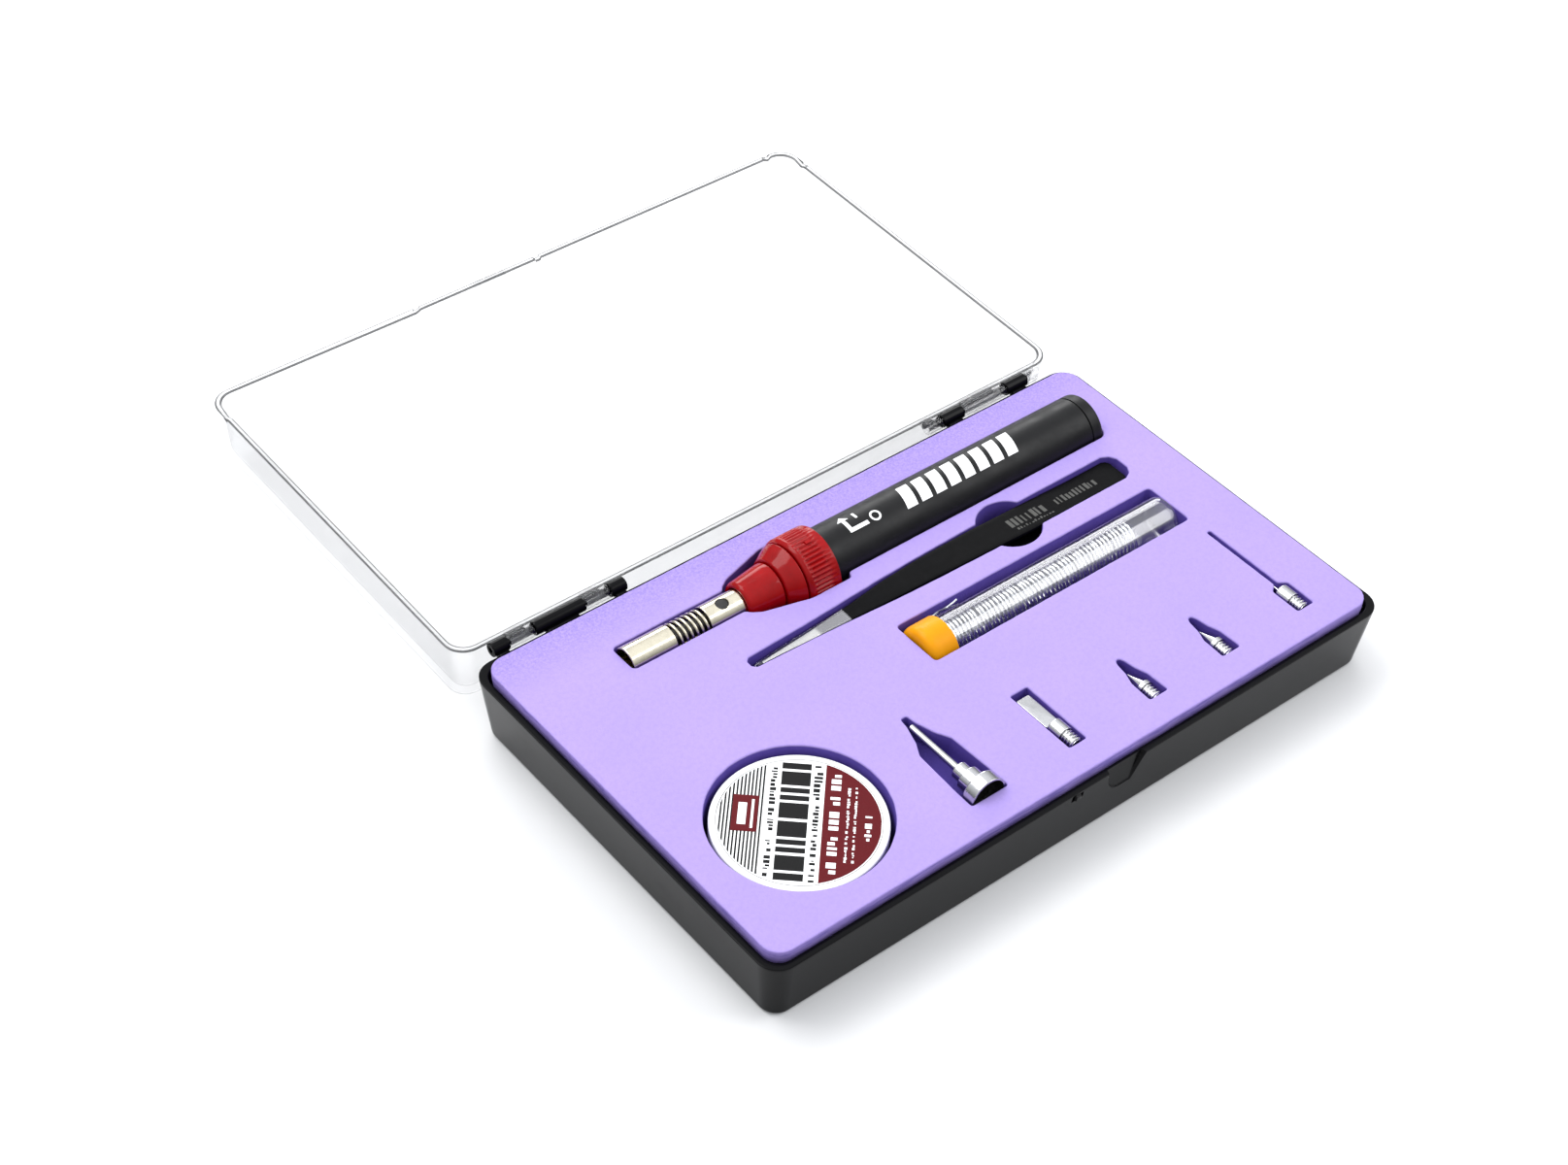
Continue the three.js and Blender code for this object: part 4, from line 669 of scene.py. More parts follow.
def make_case_lid(paint):
    shells = [lid_shell(), *lid_tab()]
    for start, end in knuckle_spans("lid"):
        inset = (end - start) * 0.14
        shells.append(pipe(start, end, KNUCKLE["radius"], 1.15, "x", HINGE_AT, 0.25, 36))
        points, faces = block(
            [start + inset, 1.4, -KNUCKLE["radius"]], [end - inset, LID_NEAR + 1, LID_RIM], 0.25, 0.4
        )
        shells.append((lid_place(points), faces))
    return piece("clear_lid", "case_lid", shells, paint, ["case_lid"])


# ---- Foam insert ----
FOAM_LOW, FOAM_HIGH = box_of("foam_insert")
FOAM_TOP = FOAM_HIGH[2]
IRON_END = ends_of("iron_end_cap")[1]
IRON_Y, IRON_Z = middle_of("iron_barrel_sleeve")[1:]
BODY_FRONT = IRON_END - 93.4
SLEEVE_FRONT = ends_of("iron_barrel_sleeve")[0]
NOSE_FRONT = ends_of("iron_nose_tip")[0]
RING_FRONT = ends_of("iron_dial_ring")[0]
RING_RADIUS = 10.6
TWEEZERS_TIP, TWEEZERS_END = ends_of("tweezers_upper_arm")
TWEEZERS_Y = middle_of("tweezers_upper_arm")[1]
TWEEZERS_Z = middle_of("tweezers_spacer")[2]
TUBE_END = ends_of("solder_tube")[1]
CAP_END = ends_of("solder_tube_cap")[0]
TUBE_Y, TUBE_Z = middle_of("solder_tube")[1:]
JAR_X, JAR_Y = middle_of("flux_jar")[:2]
JAR_TOP = box_of("flux_jar_lid")[1][2]
JAR_BOTTOM = box_of("flux_jar")[0][2]
TIP_NODES = ["blow_tip_hood", "blade_tip_base", "cone_tip_a", "cone_tip_b", "needle_tip_base"]
TIP_AT = [np.array([middle_of(n)[0], box_of(n)[0][1], middle_of(n)[2]]) for n in TIP_NODES]


HOLLOW_BACK = 39.0


def both_sides(edge, middle):
    """The closed outline of a shape given by [along, half width] pairs, the same on both sides, along X."""
    edge = np.asarray(edge, float)
    near = np.stack([edge[:, 0], middle - edge[:, 1]], 1)
    far = np.stack([edge[::-1, 0], middle + edge[::-1, 1]], 1)
    return np.concatenate([near, far])


def circle(centre, radius, count):
    angle = np.arange(count) * TURN / count
    return np.asarray(centre) + radius * np.stack([np.cos(angle), np.sin(angle)], 1)


def tip_outline(at, edge):
    """The same, along Y from the screw end of a tip."""
    edge = np.asarray(edge, float)
    right = np.stack([at[0] + edge[:, 1], at[1] + edge[:, 0]], 1)
    left = np.stack([at[0] - edge[::-1, 1], at[1] + edge[::-1, 0]], 1)
    return np.concatenate([right, left])


def finger_hollow_outline():
    """The tweezers' slot with a round finger hollow across it: the larger of the slot's half width and the
    circle's, at each place along the slot."""
    end, tip, length = TWEEZERS_END, TWEEZERS_TIP, TWEEZERS_END - TWEEZERS_TIP
    edge = np.array(
        [
            [tip - 4.2, 0.9], [tip - 3.4, 1.9], [end - 0.87 * length, 2.6], [end - 0.78 * length, 3.2],
            [end - 0.66 * length, 4.1], [end - 0.55 * length, 4.6], [end - 0.4 * length, 5.0],
            [end - 1.5, 5.0], [end + 0.6, 3.8], [end + 1.6, 2.0]
        ]
    )
    middle, radius = end - HOLLOW_BACK, 8.8
    x = np.union1d(np.linspace(edge[0, 0], edge[-1, 0], 120), middle + np.linspace(-radius, radius, 50))
    slot = np.interp(x, edge[:, 0], edge[:, 1])
    hollow = np.sqrt(np.maximum(radius**2 - (x - middle) ** 2, 0))
    return both_sides(np.stack([x, np.maximum(slot, hollow)], 1), TWEEZERS_Y)


def foam_pockets():
    """Outline and floor height of each pocket."""
    narrow, wide, body = 4.6, 11.0, 9.1
    iron = both_sides(
        [
            [SLEEVE_FRONT - 0.8, narrow - 0.8], [SLEEVE_FRONT, narrow], [NOSE_FRONT - 1.2, narrow],
            [NOSE_FRONT - 0.4, narrow + 1.1], [NOSE_FRONT + 2, 7.3], [RING_FRONT - 0.4, wide],
            [BODY_FRONT + 2.4, wide], [BODY_FRONT + 3, body], [IRON_END - 1, body],
            [IRON_END + 0.6, body - 1.6]
        ],
        IRON_Y
    )
    tube = both_sides([[CAP_END - 0.5, 7.6], [TUBE_END + 0.8, 7.6]], TUBE_Y)
    jar = circle([JAR_X, JAR_Y], 22.7, 120)
    blow = [[-0.4, 5.7], [4.5, 5.7], [19.2, 5.0], [22.8, 3.0], [28.2, 1.3], [31.2, 0.9]]
    cone = [[-0.4, 3.0], [6.3, 2.8], [9.7, 1.6], [13.3, 1.1], [14.5, 0.5]]
    tips = [
        (blow, 6.2), ([[-0.4, 2.8], [21.0, 2.8]], 3.8), (cone, 4.6), (cone, 4.6),
        ([[-0.4, 2.8], [8.6, 2.8], [10.1, 0.6], [34.6, 0.6]], 4.1)
    ]
    pockets = [
        (iron, IRON_Z - RING_RADIUS - 0.3, 0.9), (finger_hollow_outline(), TWEEZERS_Z - 4.0, 0.0),
        (tube, TUBE_Z - 7.5, 1.2), (jar, JAR_BOTTOM - 0.3, 0.0)
    ]
    for at, (edge, depth) in zip(TIP_AT, tips):
        pockets.append((tip_outline(at, edge), FOAM_TOP - depth - 0.3, 0.5))
    return pockets


def flat_fill(loops, height):
    """A flat sheet that fills a closed outline, less the outlines inside it."""
    spots = [[(x, y, 0.0) for x, y in loop] for loop in loops]
    triangles = np.array(tessellate_polygon(spots))
    flat = np.concatenate(loops)
    points = np.concatenate([flat, np.full((len(flat), 1), height)], 1)
    a, b, c = (flat[triangles[:, k]] for k in range(3))
    area = (b - a)[:, 0] * (c - a)[:, 1] - (b - a)[:, 1] * (c - a)[:, 0]
    triangles[area < 0] = triangles[area < 0][:, ::-1]
    return points, triangles[np.abs(area) > 1e-9]


def foam_wall(loop, offsets, heights, seed):
    """A wall that follows an outline: one ring for each offset and height, wavering by up to 0.12 mm."""
    rings = []
    for out, z in zip(offsets, heights):
        depth = min(1.0, max(0.0, (FOAM_TOP - z) / 1.5))
        waver = 0.12 * waves(loop[:, 0] + 0.5 * z, loop[:, 1], seed, 14) * depth
        flat = pushed_out(loop, out + waver + 0.05 * waves(loop[:, 0], loop[:, 1], seed + 9, 5))
        rings.append(np.concatenate([flat, np.full((len(flat), 1), z)], 1))
    return np.stack(rings)


def make_foam(paint):
    """A firm block with cut pockets. Every pocket is a wall that follows its outline, with a small round
    edge at the top and at the floor, and flat sheets fill the top, the floors and the underside."""
    top = FOAM_TOP
    shells, top_loops = [], []
    low, high = FOAM_LOW, FOAM_HIGH
    half = (high[:2] - low[:2]) / 2
    outline = evenly(round_rectangle(half[0], half[1], 5.0)[0], 1.2)
    heights = [
        low[2], low[2] + 0.3, low[2] + 1, 10, BASE_HEIGHT, top - 0.6, top - 0.25, top - 0.08, top - 0.01,
        top
    ]
    slope = [2.6, 2.2, 2.0, 1.1, 0.05, 0, 0.02, 0.1, 0.28, 0.7]
    outside = foam_wall(outline, [-s for s in slope], heights, 3)
    shells.append(skin(outside, shut=False))
    top_loops.append(outside[-1, :, :2])
    shells.append(flat_fill([outside[0, :, :2]], low[2]))
    for number, (pocket, floor, corner) in enumerate(foam_pockets()):
        loop = softened(pocket, corner, 4, closed=True) if corner else pocket
        loop = evenly(loop, 0.45)
        drop = top - floor
        heights = [top, top, top - 0.05, top - 0.2, top - 0.5, top - 0.35 * drop, floor + 0.3 * drop]
        heights += [floor + 0.5, floor + 0.15, floor]
        offsets = [0.9, 0.4, 0.2, 0.06, 0, -0.02, 0, 0, -0.12, -0.4]
        wall = foam_wall(loop, offsets, heights, 20 + number)
        shells.append((*skin(wall, shut=False), 1))
        top_loops.append(wall[0, :, :2])
        if number == 1:
            ring = circle([TWEEZERS_END - HOLLOW_BACK, TWEEZERS_Y], 8.2, 60)
            deep = top - 11
            sink = np.stack([np.concatenate([ring, np.full((60, 1), z)], 1) for z in (floor, deep)])
            shells.append((*skin(sink, shut=False), 1))
            shells.append((*flat_fill([wall[-1, :, :2], ring], floor), 1))
            shells.append((*flat_fill([ring], deep), 1))
        else:
            shells.append((*flat_fill([wall[-1, :, :2]], floor), 1))
    shells.append(flat_fill(top_loops, top))
    made = piece("foam_block", "foam_insert", shells, paint, ["foam_insert"], sharp=50, mend=True)
    return made


# ---- Soldering iron ----
IRON_AT = np.array([0, IRON_Y, IRON_Z])
BODY_RADIUS = 8.7


def iron_turning(name, node, paint, profile, radius, steps):
    """A closed profile turned about the iron's axis."""
    shell = turned(softened(profile, radius, steps, closed=True), "x", IRON_AT, 96)
    piece(name, "iron", [shell], paint, [node])


def on_body(x, angle, height):
    """A place on the round body: `angle` in degrees from +Y towards +Z."""
    a = np.radians(angle)
    radius = BODY_RADIUS + height
    return np.stack([x, IRON_Y + radius * np.cos(a), IRON_Z + radius * np.sin(a)], -1)


def body_mark(x0, x1, a0, a1, lean=0.0, taper=1.0):
    """A mark between two places along the body and two angles: it may lean along the body and narrow."""
    t = np.linspace(0, 1, 9)[:, None]
    s = np.linspace(-0.5, 0.5, 4)[None, :]
    width = (x1 - x0) * (1 + (taper - 1) * t)
    x = (x0 + x1) / 2 + s * width + lean * (t - 0.5)
    return raised(on_body, x, np.broadcast_to(a0 + (a1 - a0) * t, x.shape).copy())


def body_ring_mark(x, angle, radius, thick):
    """A ring printed on the body."""
    t = np.linspace(0, TURN, 25)[:, None]
    r = radius + thick * np.array([-0.5, 0.5])[None, :]
    turn = np.degrees(r * np.sin(t) / BODY_RADIUS)
    return raised(on_body, x + r * np.cos(t), angle + turn)


def make_handle(black, ink):
    """The fuel tank's shell, turned about its axis, with a row of slanted bars and a simple arrow."""
    back = IRON_END - 4.0
    neck = RING_FRONT - 0.3 - 1.6
    profile = [
        [neck, 5.2], [neck, 6.6], [BODY_FRONT, 6.6], [BODY_FRONT, BODY_RADIUS], [back, BODY_RADIUS],
        [back, 7.5], [BODY_FRONT + 3.6, 7.5], [BODY_FRONT + 3.6, 4.1], [BODY_FRONT + 0.6, 4.1],
        [BODY_FRONT + 0.6, 5.2]
    ]
    radius = [0.1, 0.2, 0.1, 0.5, 0.12, 0.1, 0.1, 0.1, 0.1, 0.1]
    iron_turning("handle_tank", "iron_tank_shell", black, profile, radius, 4)
    marks = [body_mark(20.5 + 5.0 * k, 24.0 + 5.0 * k, 72, 121, lean=-1.6) for k in range(8)]
    marks += [body_mark(1.6, 2.7, 82, 111), body_mark(1.6, 7.8, 104, 111.5)]
    marks += [body_mark(0.4, 3.9, 83, 72, taper=0.05), body_mark(5.6, 6.3, 76, 90)]
    marks.append(body_ring_mark(10.6, 103, 1.35, 0.55))
    piece("handle_print", "iron", marks, ink)


def make_end_cap(black):
    front, back = IRON_END - 3.7, IRON_END
    profile = [
        [front - 5.4, 2.6], [front - 5.4, 7.2], [front - 4, 7.2], [front - 4, 6.1], [front - 2.2, 6.1],
        [front - 2.2, 7.2], [front, 7.2], [front, BODY_RADIUS], [back, BODY_RADIUS], [back, 3.4],
        [back - 1.2, 2.6]
    ]
    radius = [0.1, 0.1, 0.1, 0.1, 0.1, 0.1, 0.1, 0.15, 1.3, 0.3, 0.2]
    iron_turning("handle_end_cap", "iron_end_cap", black, profile, radius, 6)


def make_dial(red):
    """The knurled ring: in the ribbed band the radius dips as a power of a cosine, once for each rib."""
    front, back = ends_of("iron_dial_ring")
    outer, ribs = RING_RADIUS, 52
    band = (front + 1.3, back - 1.9)
    face = np.stack([np.linspace(band[0], band[1], 12), np.full(12, outer)], 1)
    edge_front = softened([[front, 6.9], [front, outer - 0.6], [front + 0.9, outer], [band[0], outer]], 0.4)
    edge_back = softened([[band[1], outer], [back, outer], [back, 8.6], [back - 0.1, 8.6]], 0.25)
    inner = softened([[back - 0.1, 8.6], [front + 3.2, 8.6], [front + 3.2, 6.9], [front, 6.9]], 0.1, 2)
    profile = np.concatenate([edge_front, face, edge_back, inner])
    outside = np.arange(len(profile))[:, None] < len(profile) - len(inner)

    def ribbing(along, angle):
        inside = smooth_step((along - band[0]) / 0.35) * smooth_step((band[1] - along) / 0.35)
        groove = (0.5 - 0.5 * np.cos(ribs * angle)) ** 1.5
        return -0.42 * inside * groove * outside

    whole = turned(profile, "x", IRON_AT, ribs * 8, ribbing)
    pointer = raised(
        lambda x, a, h: on_body(x, a, h + outer - BODY_RADIUS),
        np.linspace(-12.2, -10.6, 4)[:, None] * np.ones(4),
        np.linspace(94, 99, 4)[None, :] * np.ones((4, 1)), 0.25
    )
    piece("dial_ring", "iron_dial", [whole, pointer], red, ["iron_dial_ring"])


def make_nose(red):
    front, back = ends_of("iron_nose_shoulder")
    profile = [
        [front, 4.5], [front, 7.5], [front + 2.9, 9.2], [back - 0.2, 10.0], [back, 6.9], [back - 1.9, 6.9],
        [back - 1.9, 4.5]
    ]
    radius = [0.1, 0.4, 1.6, 0.4, 0.1, 0.1, 0.1]
    iron_turning("nose_shoulder", "iron_nose_shoulder", red, profile, radius, 5)
    front, back = ends_of("iron_nose_tip")
    profile = [
        [front, 4.5], [front, 5.2], [front + 0.7, 5.75], [back - 1.4, 6.85], [back, 6.9], [back, 4.5]
    ]
    radius = [0.1, 0.3, 0.5, 0.5, 0.4, 0.1]
    iron_turning("nose_cone", "iron_nose_tip", red, profile, radius, 6)


def make_barrel(nickel, dark, brass, painted_shade_black):
    """The metal barrel: rear tube with a round air hole, coiled section and open sleeve. The hole is where
    the tube's radius falls steeply inside a circle laid on its surface, and a black disc under it is painted
    shade."""
    start, end = ends_of("iron_barrel_rear")
    outer, inner = 4.2, 3.6
    air_x, air_angle, air_radius = NOSE_FRONT - 5.6, math.radians(99), 1.7

    def air_hole(along, angle):
        sideways = (np.mod(angle - air_angle + math.pi, TURN) - math.pi) * outer
        away = np.hypot(along - air_x, sideways)
        return -1.9 * smooth_step((air_radius - away) / 0.22 + 0.5)

    fine = np.linspace(air_x - 2.2, air_x + 2.2, 40)
    front = softened([[start, 3.3], [start, outer], [air_x - 2.3, outer]], 0.2)
    back = [[end, outer], [end, inner], [end - 1, inner]]
    bore = [[start + 3, inner - 2.2], [start, inner - 2.2]]
    rear = np.concatenate([front, fine[:, None] * [1, 0] + [0, outer], back, bore])
    shell = turned(rear, "x", IRON_AT, 220, air_hole)
    piece("barrel_rear", "iron", [shell], nickel, ["iron_barrel_rear"], sharp=30)
    # Painted shade: a black disc sunk just under the air hole.
    painted_hole_shade = rod(-1.2, 0.0, 1.72, "z", [0, 0, 0], 0.1, 32)
    lean = air_angle - math.pi / 2
    x, y, z = (painted_hole_shade[0] + [air_x, 0, outer - 0.42]).T
    y, z = y * math.cos(lean) - z * math.sin(lean), y * math.sin(lean) + z * math.cos(lean)
    plug = np.stack([x, y + IRON_Y, z + IRON_Z], 1)
    piece("air_hole_shade", "iron", [(plug, painted_hole_shade[1])], painted_shade_black)

    start, end = ends_of("iron_barrel_spring")
    turns, reach = 5.5, 3.72
    t = np.linspace(0, 1, 240)
    angle = t * turns * TURN
    x = start + 0.5 + t * (end - start - 1.0)
    path = np.stack([x, IRON_Y + reach * np.cos(angle), IRON_Z + reach * np.sin(angle)], 1)
    coil = wire(path, 0.42, np.array([1.0, 0, 0]), 12)
    piece("barrel_coil", "iron", [coil], nickel, ["iron_barrel_spring"])

    sleeve = pipe(*ends_of("iron_barrel_sleeve"), outer, inner, "x", IRON_AT, 0.22, 96)
    piece("barrel_sleeve", "iron", [sleeve], nickel, ["iron_barrel_sleeve"])
    core = pipe(*ends_of("iron_mixing_tube"), 2.2, 1.6, "x", IRON_AT, 0.15, 48)
    piece("mixing_tube", "iron", [core], dark, ["iron_mixing_tube"])
    start, end = ends_of("iron_tip_socket")
    threads = np.linspace(start + 0.3, end - 1.2, 60)
    bore = 2.35 + 0.16 * np.cos((threads - threads[0]) / 0.7 * TURN)
    wall = softened([[end - 1, 1.4], [end, 1.4], [end, 3.3], [start, 3.3], [start, 2.5]], 0.15)
    socket = np.concatenate([wall, np.stack([threads, bore], 1)])
    shell = turned(socket, "x", IRON_AT, 64)
    piece("tip_socket", "iron", [shell], brass, ["iron_tip_socket"])


def make_wick(cotton):
    """The wick: a cord whose radius swells three times round it, turning along its length."""
    along = np.linspace(*ends_of("iron_gas_wick"), 120)
    profile = np.concatenate([[[along[0], 0]], np.stack([along, np.full(120, 1.35)], 1), [[along[-1], 0]]])
    shell = turned(profile, "x", IRON_AT, 36, lambda x, a: 0.12 * np.cos(3 * a + x * 1.4))
    piece("fuel_wick", "iron", [shell], cotton, ["iron_gas_wick"])


# ---- Tweezers ----
def arm_curves(t):
    """Half width, offset from the middle and half thickness of an arm at shares t of its length, from the
    joined end: straight lines between stations, smoothed over nine samples past the rounded end."""
    stations = np.array(
        [
            [0.0, 3.2, 1.4, 0.6], [0.004, 4.1, 1.4, 0.6], [0.012, 4.6, 1.4, 0.6], [0.12, 4.6, 1.4, 0.6],
            [0.24, 4.6, 2.0, 0.6], [0.4, 4.5, 2.76, 0.6], [0.55, 4.05, 3.1, 0.6], [0.66, 3.4, 2.76, 0.6],
            [0.76, 2.3, 2.0, 0.6], [0.79, 2.07, 1.82, 0.6], [0.87, 1.29, 1.48, 0.45], [0.96, 0.6, 1.3, 0.4],
            [1.0, 0.32, 1.1, 0.3]
        ]
    )
    even = np.linspace(0, 1, 201)
    kernel = np.hanning(11) / np.hanning(11).sum()
    curves = []
    for column in stations.T[1:]:
        exact = np.interp(t, stations[:, 0], column)
        smooth = np.convolve(
            np.pad(np.interp(even, stations[:, 0], column), 5, mode="edge"), kernel, "valid"
        )
        curves.append(np.where(t < 0.03, exact, np.interp(t, even, smooth)))
    return curves


def oblong_rings(x, half, lift, thick, power, count):
    """A closed skin of rounded oblongs across X: at angle a, a point stands half * cos(a) ^ power and
    thick * sin(a) ^ power, signs kept, from the tweezers' middle raised by `lift`."""
    angle = np.arange(count) * TURN / count
    c, s = np.cos(angle), np.sin(angle)
    y = half[:, None] * (np.sign(c) * np.abs(c) ** power)
    z = np.asarray(lift)[..., None] + thick[:, None] * (np.sign(s) * np.abs(s) ** power)
    return skin(ended(np.stack([np.broadcast_to(x[:, None], y.shape), TWEEZERS_Y + y, TWEEZERS_Z + z], -1)))


def arm_shell(side):
    length = TWEEZERS_END - TWEEZERS_TIP
    t = np.unique(np.concatenate([[0.0, 0.004, 0.012], np.linspace(0.0, 1, 150)]))
    half, offset, thick = arm_curves(t)
    return oblong_rings(TWEEZERS_END - t * length, half, side * offset, thick, 0.22, 40)


def arm_mark(x0, x1, y0, y1):
    """A small mark on top of the upper arm."""

    def place(x, y, height):
        share = (TWEEZERS_END - x) / (TWEEZERS_END - TWEEZERS_TIP)
        _, offset, thick = arm_curves(share)
        return np.stack([x, TWEEZERS_Y + y, TWEEZERS_Z + offset + thick + height], -1)

    x, y = np.meshgrid(np.linspace(x0, x1, 3), np.linspace(y0, y1, 3), indexing="ij")
    return raised(place, x, y, 0.03)


def make_tweezers(coat, steel, clear, ink):
    """Two arms, joined at the back by a filler, with a clear guard over the points: a wall 0.45 mm thick
    round rounded oblongs that widen away from the points, closed round the points."""
    piece("tweezers_top", "tweezers_arm", [arm_shell(1)], coat, ["tweezers_upper_arm"], 50)
    piece("tweezers_under", "tweezers", [arm_shell(-1)], coat, ["tweezers_lower_arm"], 50)
    rng = np.random.default_rng(31)
    marks = []
    for start, count, low, high in ((41.5, 8, -1.4, 1.6), (42.5, 13, -2.9, -2.1), (58.0, 11, -1.2, 1.2)):
        pitch = 13.0 / count if start < 50 else 1.35
        for k in range(count):
            x = start + pitch * k
            marks.append(arm_mark(x, x + pitch * rng.uniform(0.3, 0.75), low, high - rng.choice([0, 0.4])))
    piece("tweezers_marks", "tweezers_arm", marks, ink)
    low, high = box_of("tweezers_spacer")
    spacer = block(low, high, 0.15, 1.0)
    piece("tweezers_filler", "tweezers", [spacer], steel, ["tweezers_spacer"])
    x = np.linspace(-1.3, 26.7, 30)
    stations = [-1.3, 11.2, 26.7]
    half, thick = np.interp(x, stations, [0.7, 1.6, 2.45]), np.interp(x, stations, [1.75, 2.35, 2.85])
    nose = [[-2.8, 0.25, 1.1], [-2.7, 0.6, 1.5], [-2.3, 0.95, 1.85]]
    outer, lip = np.stack([x, half + 0.45, thick + 0.45], 1), [[26.7, 2.7, 3.1]]
    line = np.concatenate([nose, outer, lip, np.stack([x, half, thick], 1)[::-1]])
    guard = oblong_rings(TWEEZERS_TIP + line[:, 0], line[:, 1], 0.0, line[:, 2], 0.6, 48)
    piece("tweezers_guard", "tweezers", [guard], clear, ["tweezers_tip_guard"])


# ---- Solder ----
def make_solder(clear, orange, tin):
    """A clear tube with a cap, and the wire in it: a helix whose turns vary a little in pitch, radius and
    lean, with a loose end over the cap."""
    at = np.array([0, TUBE_Y, TUBE_Z])
    start = ends_of("solder_tube")[0]
    outer, wall = 6.5, 0.9
    inner = outer - wall
    over_cap = 7.2
    profile = softened(
        [
            [start, inner], [start, outer], [TUBE_END, outer], [TUBE_END, 0], [TUBE_END - wall, 0],
            [TUBE_END - wall, inner], [start, inner]
        ],
        [0, 0.2, 2.2, 0, 0, 1.5, 0], 8
    )
    piece("solder_vial", "solder", [turned(profile, "x", at, 96)], clear, ["solder_tube"])
    cap = softened(
        [
            [CAP_END, 0], [CAP_END, over_cap], [CAP_END + 8.4, over_cap], [CAP_END + 8.4, 6.8],
            [CAP_END + 1.3, 6.8], [CAP_END + 1.3, 0]
        ],
        [0, 2.6, 0.2, 0.1, 0.2, 0], 8
    )
    piece("vial_cap", "solder_cap", [turned(cap, "x", at, 96)], orange, ["solder_tube_cap"])
    low, high = ends_of("solder_coil")
    turns = 53
    rng = np.random.default_rng(11)
    t = np.linspace(0, 1, turns * 20 + 1)
    angle = t * turns * TURN
    jitter, swell = (
        np.interp(t * turns, np.arange(turns + 2), rng.normal(0, k, turns + 2))
        for k in (0.17, 0.08)
    )
    y, z = (4.36 + swell) * np.cos(angle), (4.36 + swell) * np.sin(angle)
    lean = (0.16 + 0.1 * np.sin(9 * t)) * y - (0.1 + 0.08 * np.sin(5 * t)) * z
    x = low + 1.2 + t * (high - low - 2.6) + jitter + lean
    path = np.stack([x, y, z], 1) + middle_of("solder_coil") * [0, 1, 1]
    coil = wire(path, 0.43, np.array([1.0, 0, 0]), 8)
    s = np.linspace(0, 1, 60)
    around = np.radians(52 - 30 * smooth_step(s * 1.3) + 9 * smooth_step(s * 3 - 2))
    away = 6.95 + 0.5 * s**3
    tail_x = 1.5 + 10.6 * s
    tail = np.stack([tail_x, TUBE_Y + away * np.cos(around), TUBE_Z + away * np.sin(around)], 1)
    end = wire(tail, 0.28, np.array([0, 0, 1.0]), 8)
    piece("solder_turns", "solder", [coil, end], tin, ["solder_coil"])


# ---- Flux jar ----
LABEL_RADIUS = 19.6
LABEL_TURN = math.radians(47.5)


def on_label(u, v, height):
    """A place on the label: u runs along its lines, turned 47.5 degrees from the case, and v across them."""
    c, d = math.cos(LABEL_TURN), math.sin(LABEL_TURN)
    x, y = JAR_X + c * u - d * v, JAR_Y + d * u + c * v
    return np.stack([x, y, JAR_TOP - 0.02 + height], -1)


def label_strip(u0, u1, v0, v1, rows=3, lift=0.0):
    """A printed strip, kept inside the round label, `lift` above it."""
    v = np.linspace(v0, v1, rows)[:, None] * np.ones(5)
    reach = np.sqrt(np.maximum((LABEL_RADIUS - 0.25) ** 2 - v**2, 0.01))
    u = np.linspace(u0, u1, 5)[None, :] * np.ones((rows, 1))
    points, faces = raised(on_label, np.clip(u, -reach, reach), v, 0.03)
    return points + np.array([0, 0, lift]), faces


def label_ticks(u0, u1, v0, v1, seed, lift=0.0, size=1.0):
    """A row of short marks of mixed widths, with a wider gap now and then, in place of words."""
    rng = np.random.default_rng(seed)
    at, marks = u0, []
    while at < u1 - 0.3 * size:
        wide = size * rng.uniform(0.35, 1.1)
        low = v0 + (v1 - v0) * rng.choice([0.0, 0.0, 0.25])
        high = v1 - (v1 - v0) * rng.choice([0.0, 0.0, 0.3])
        marks.append(label_strip(at, min(at + wide, u1), low, high, 3, lift))
        at += wide + size * rng.choice([0.35, 0.35, 0.35, 1.2])
    return marks


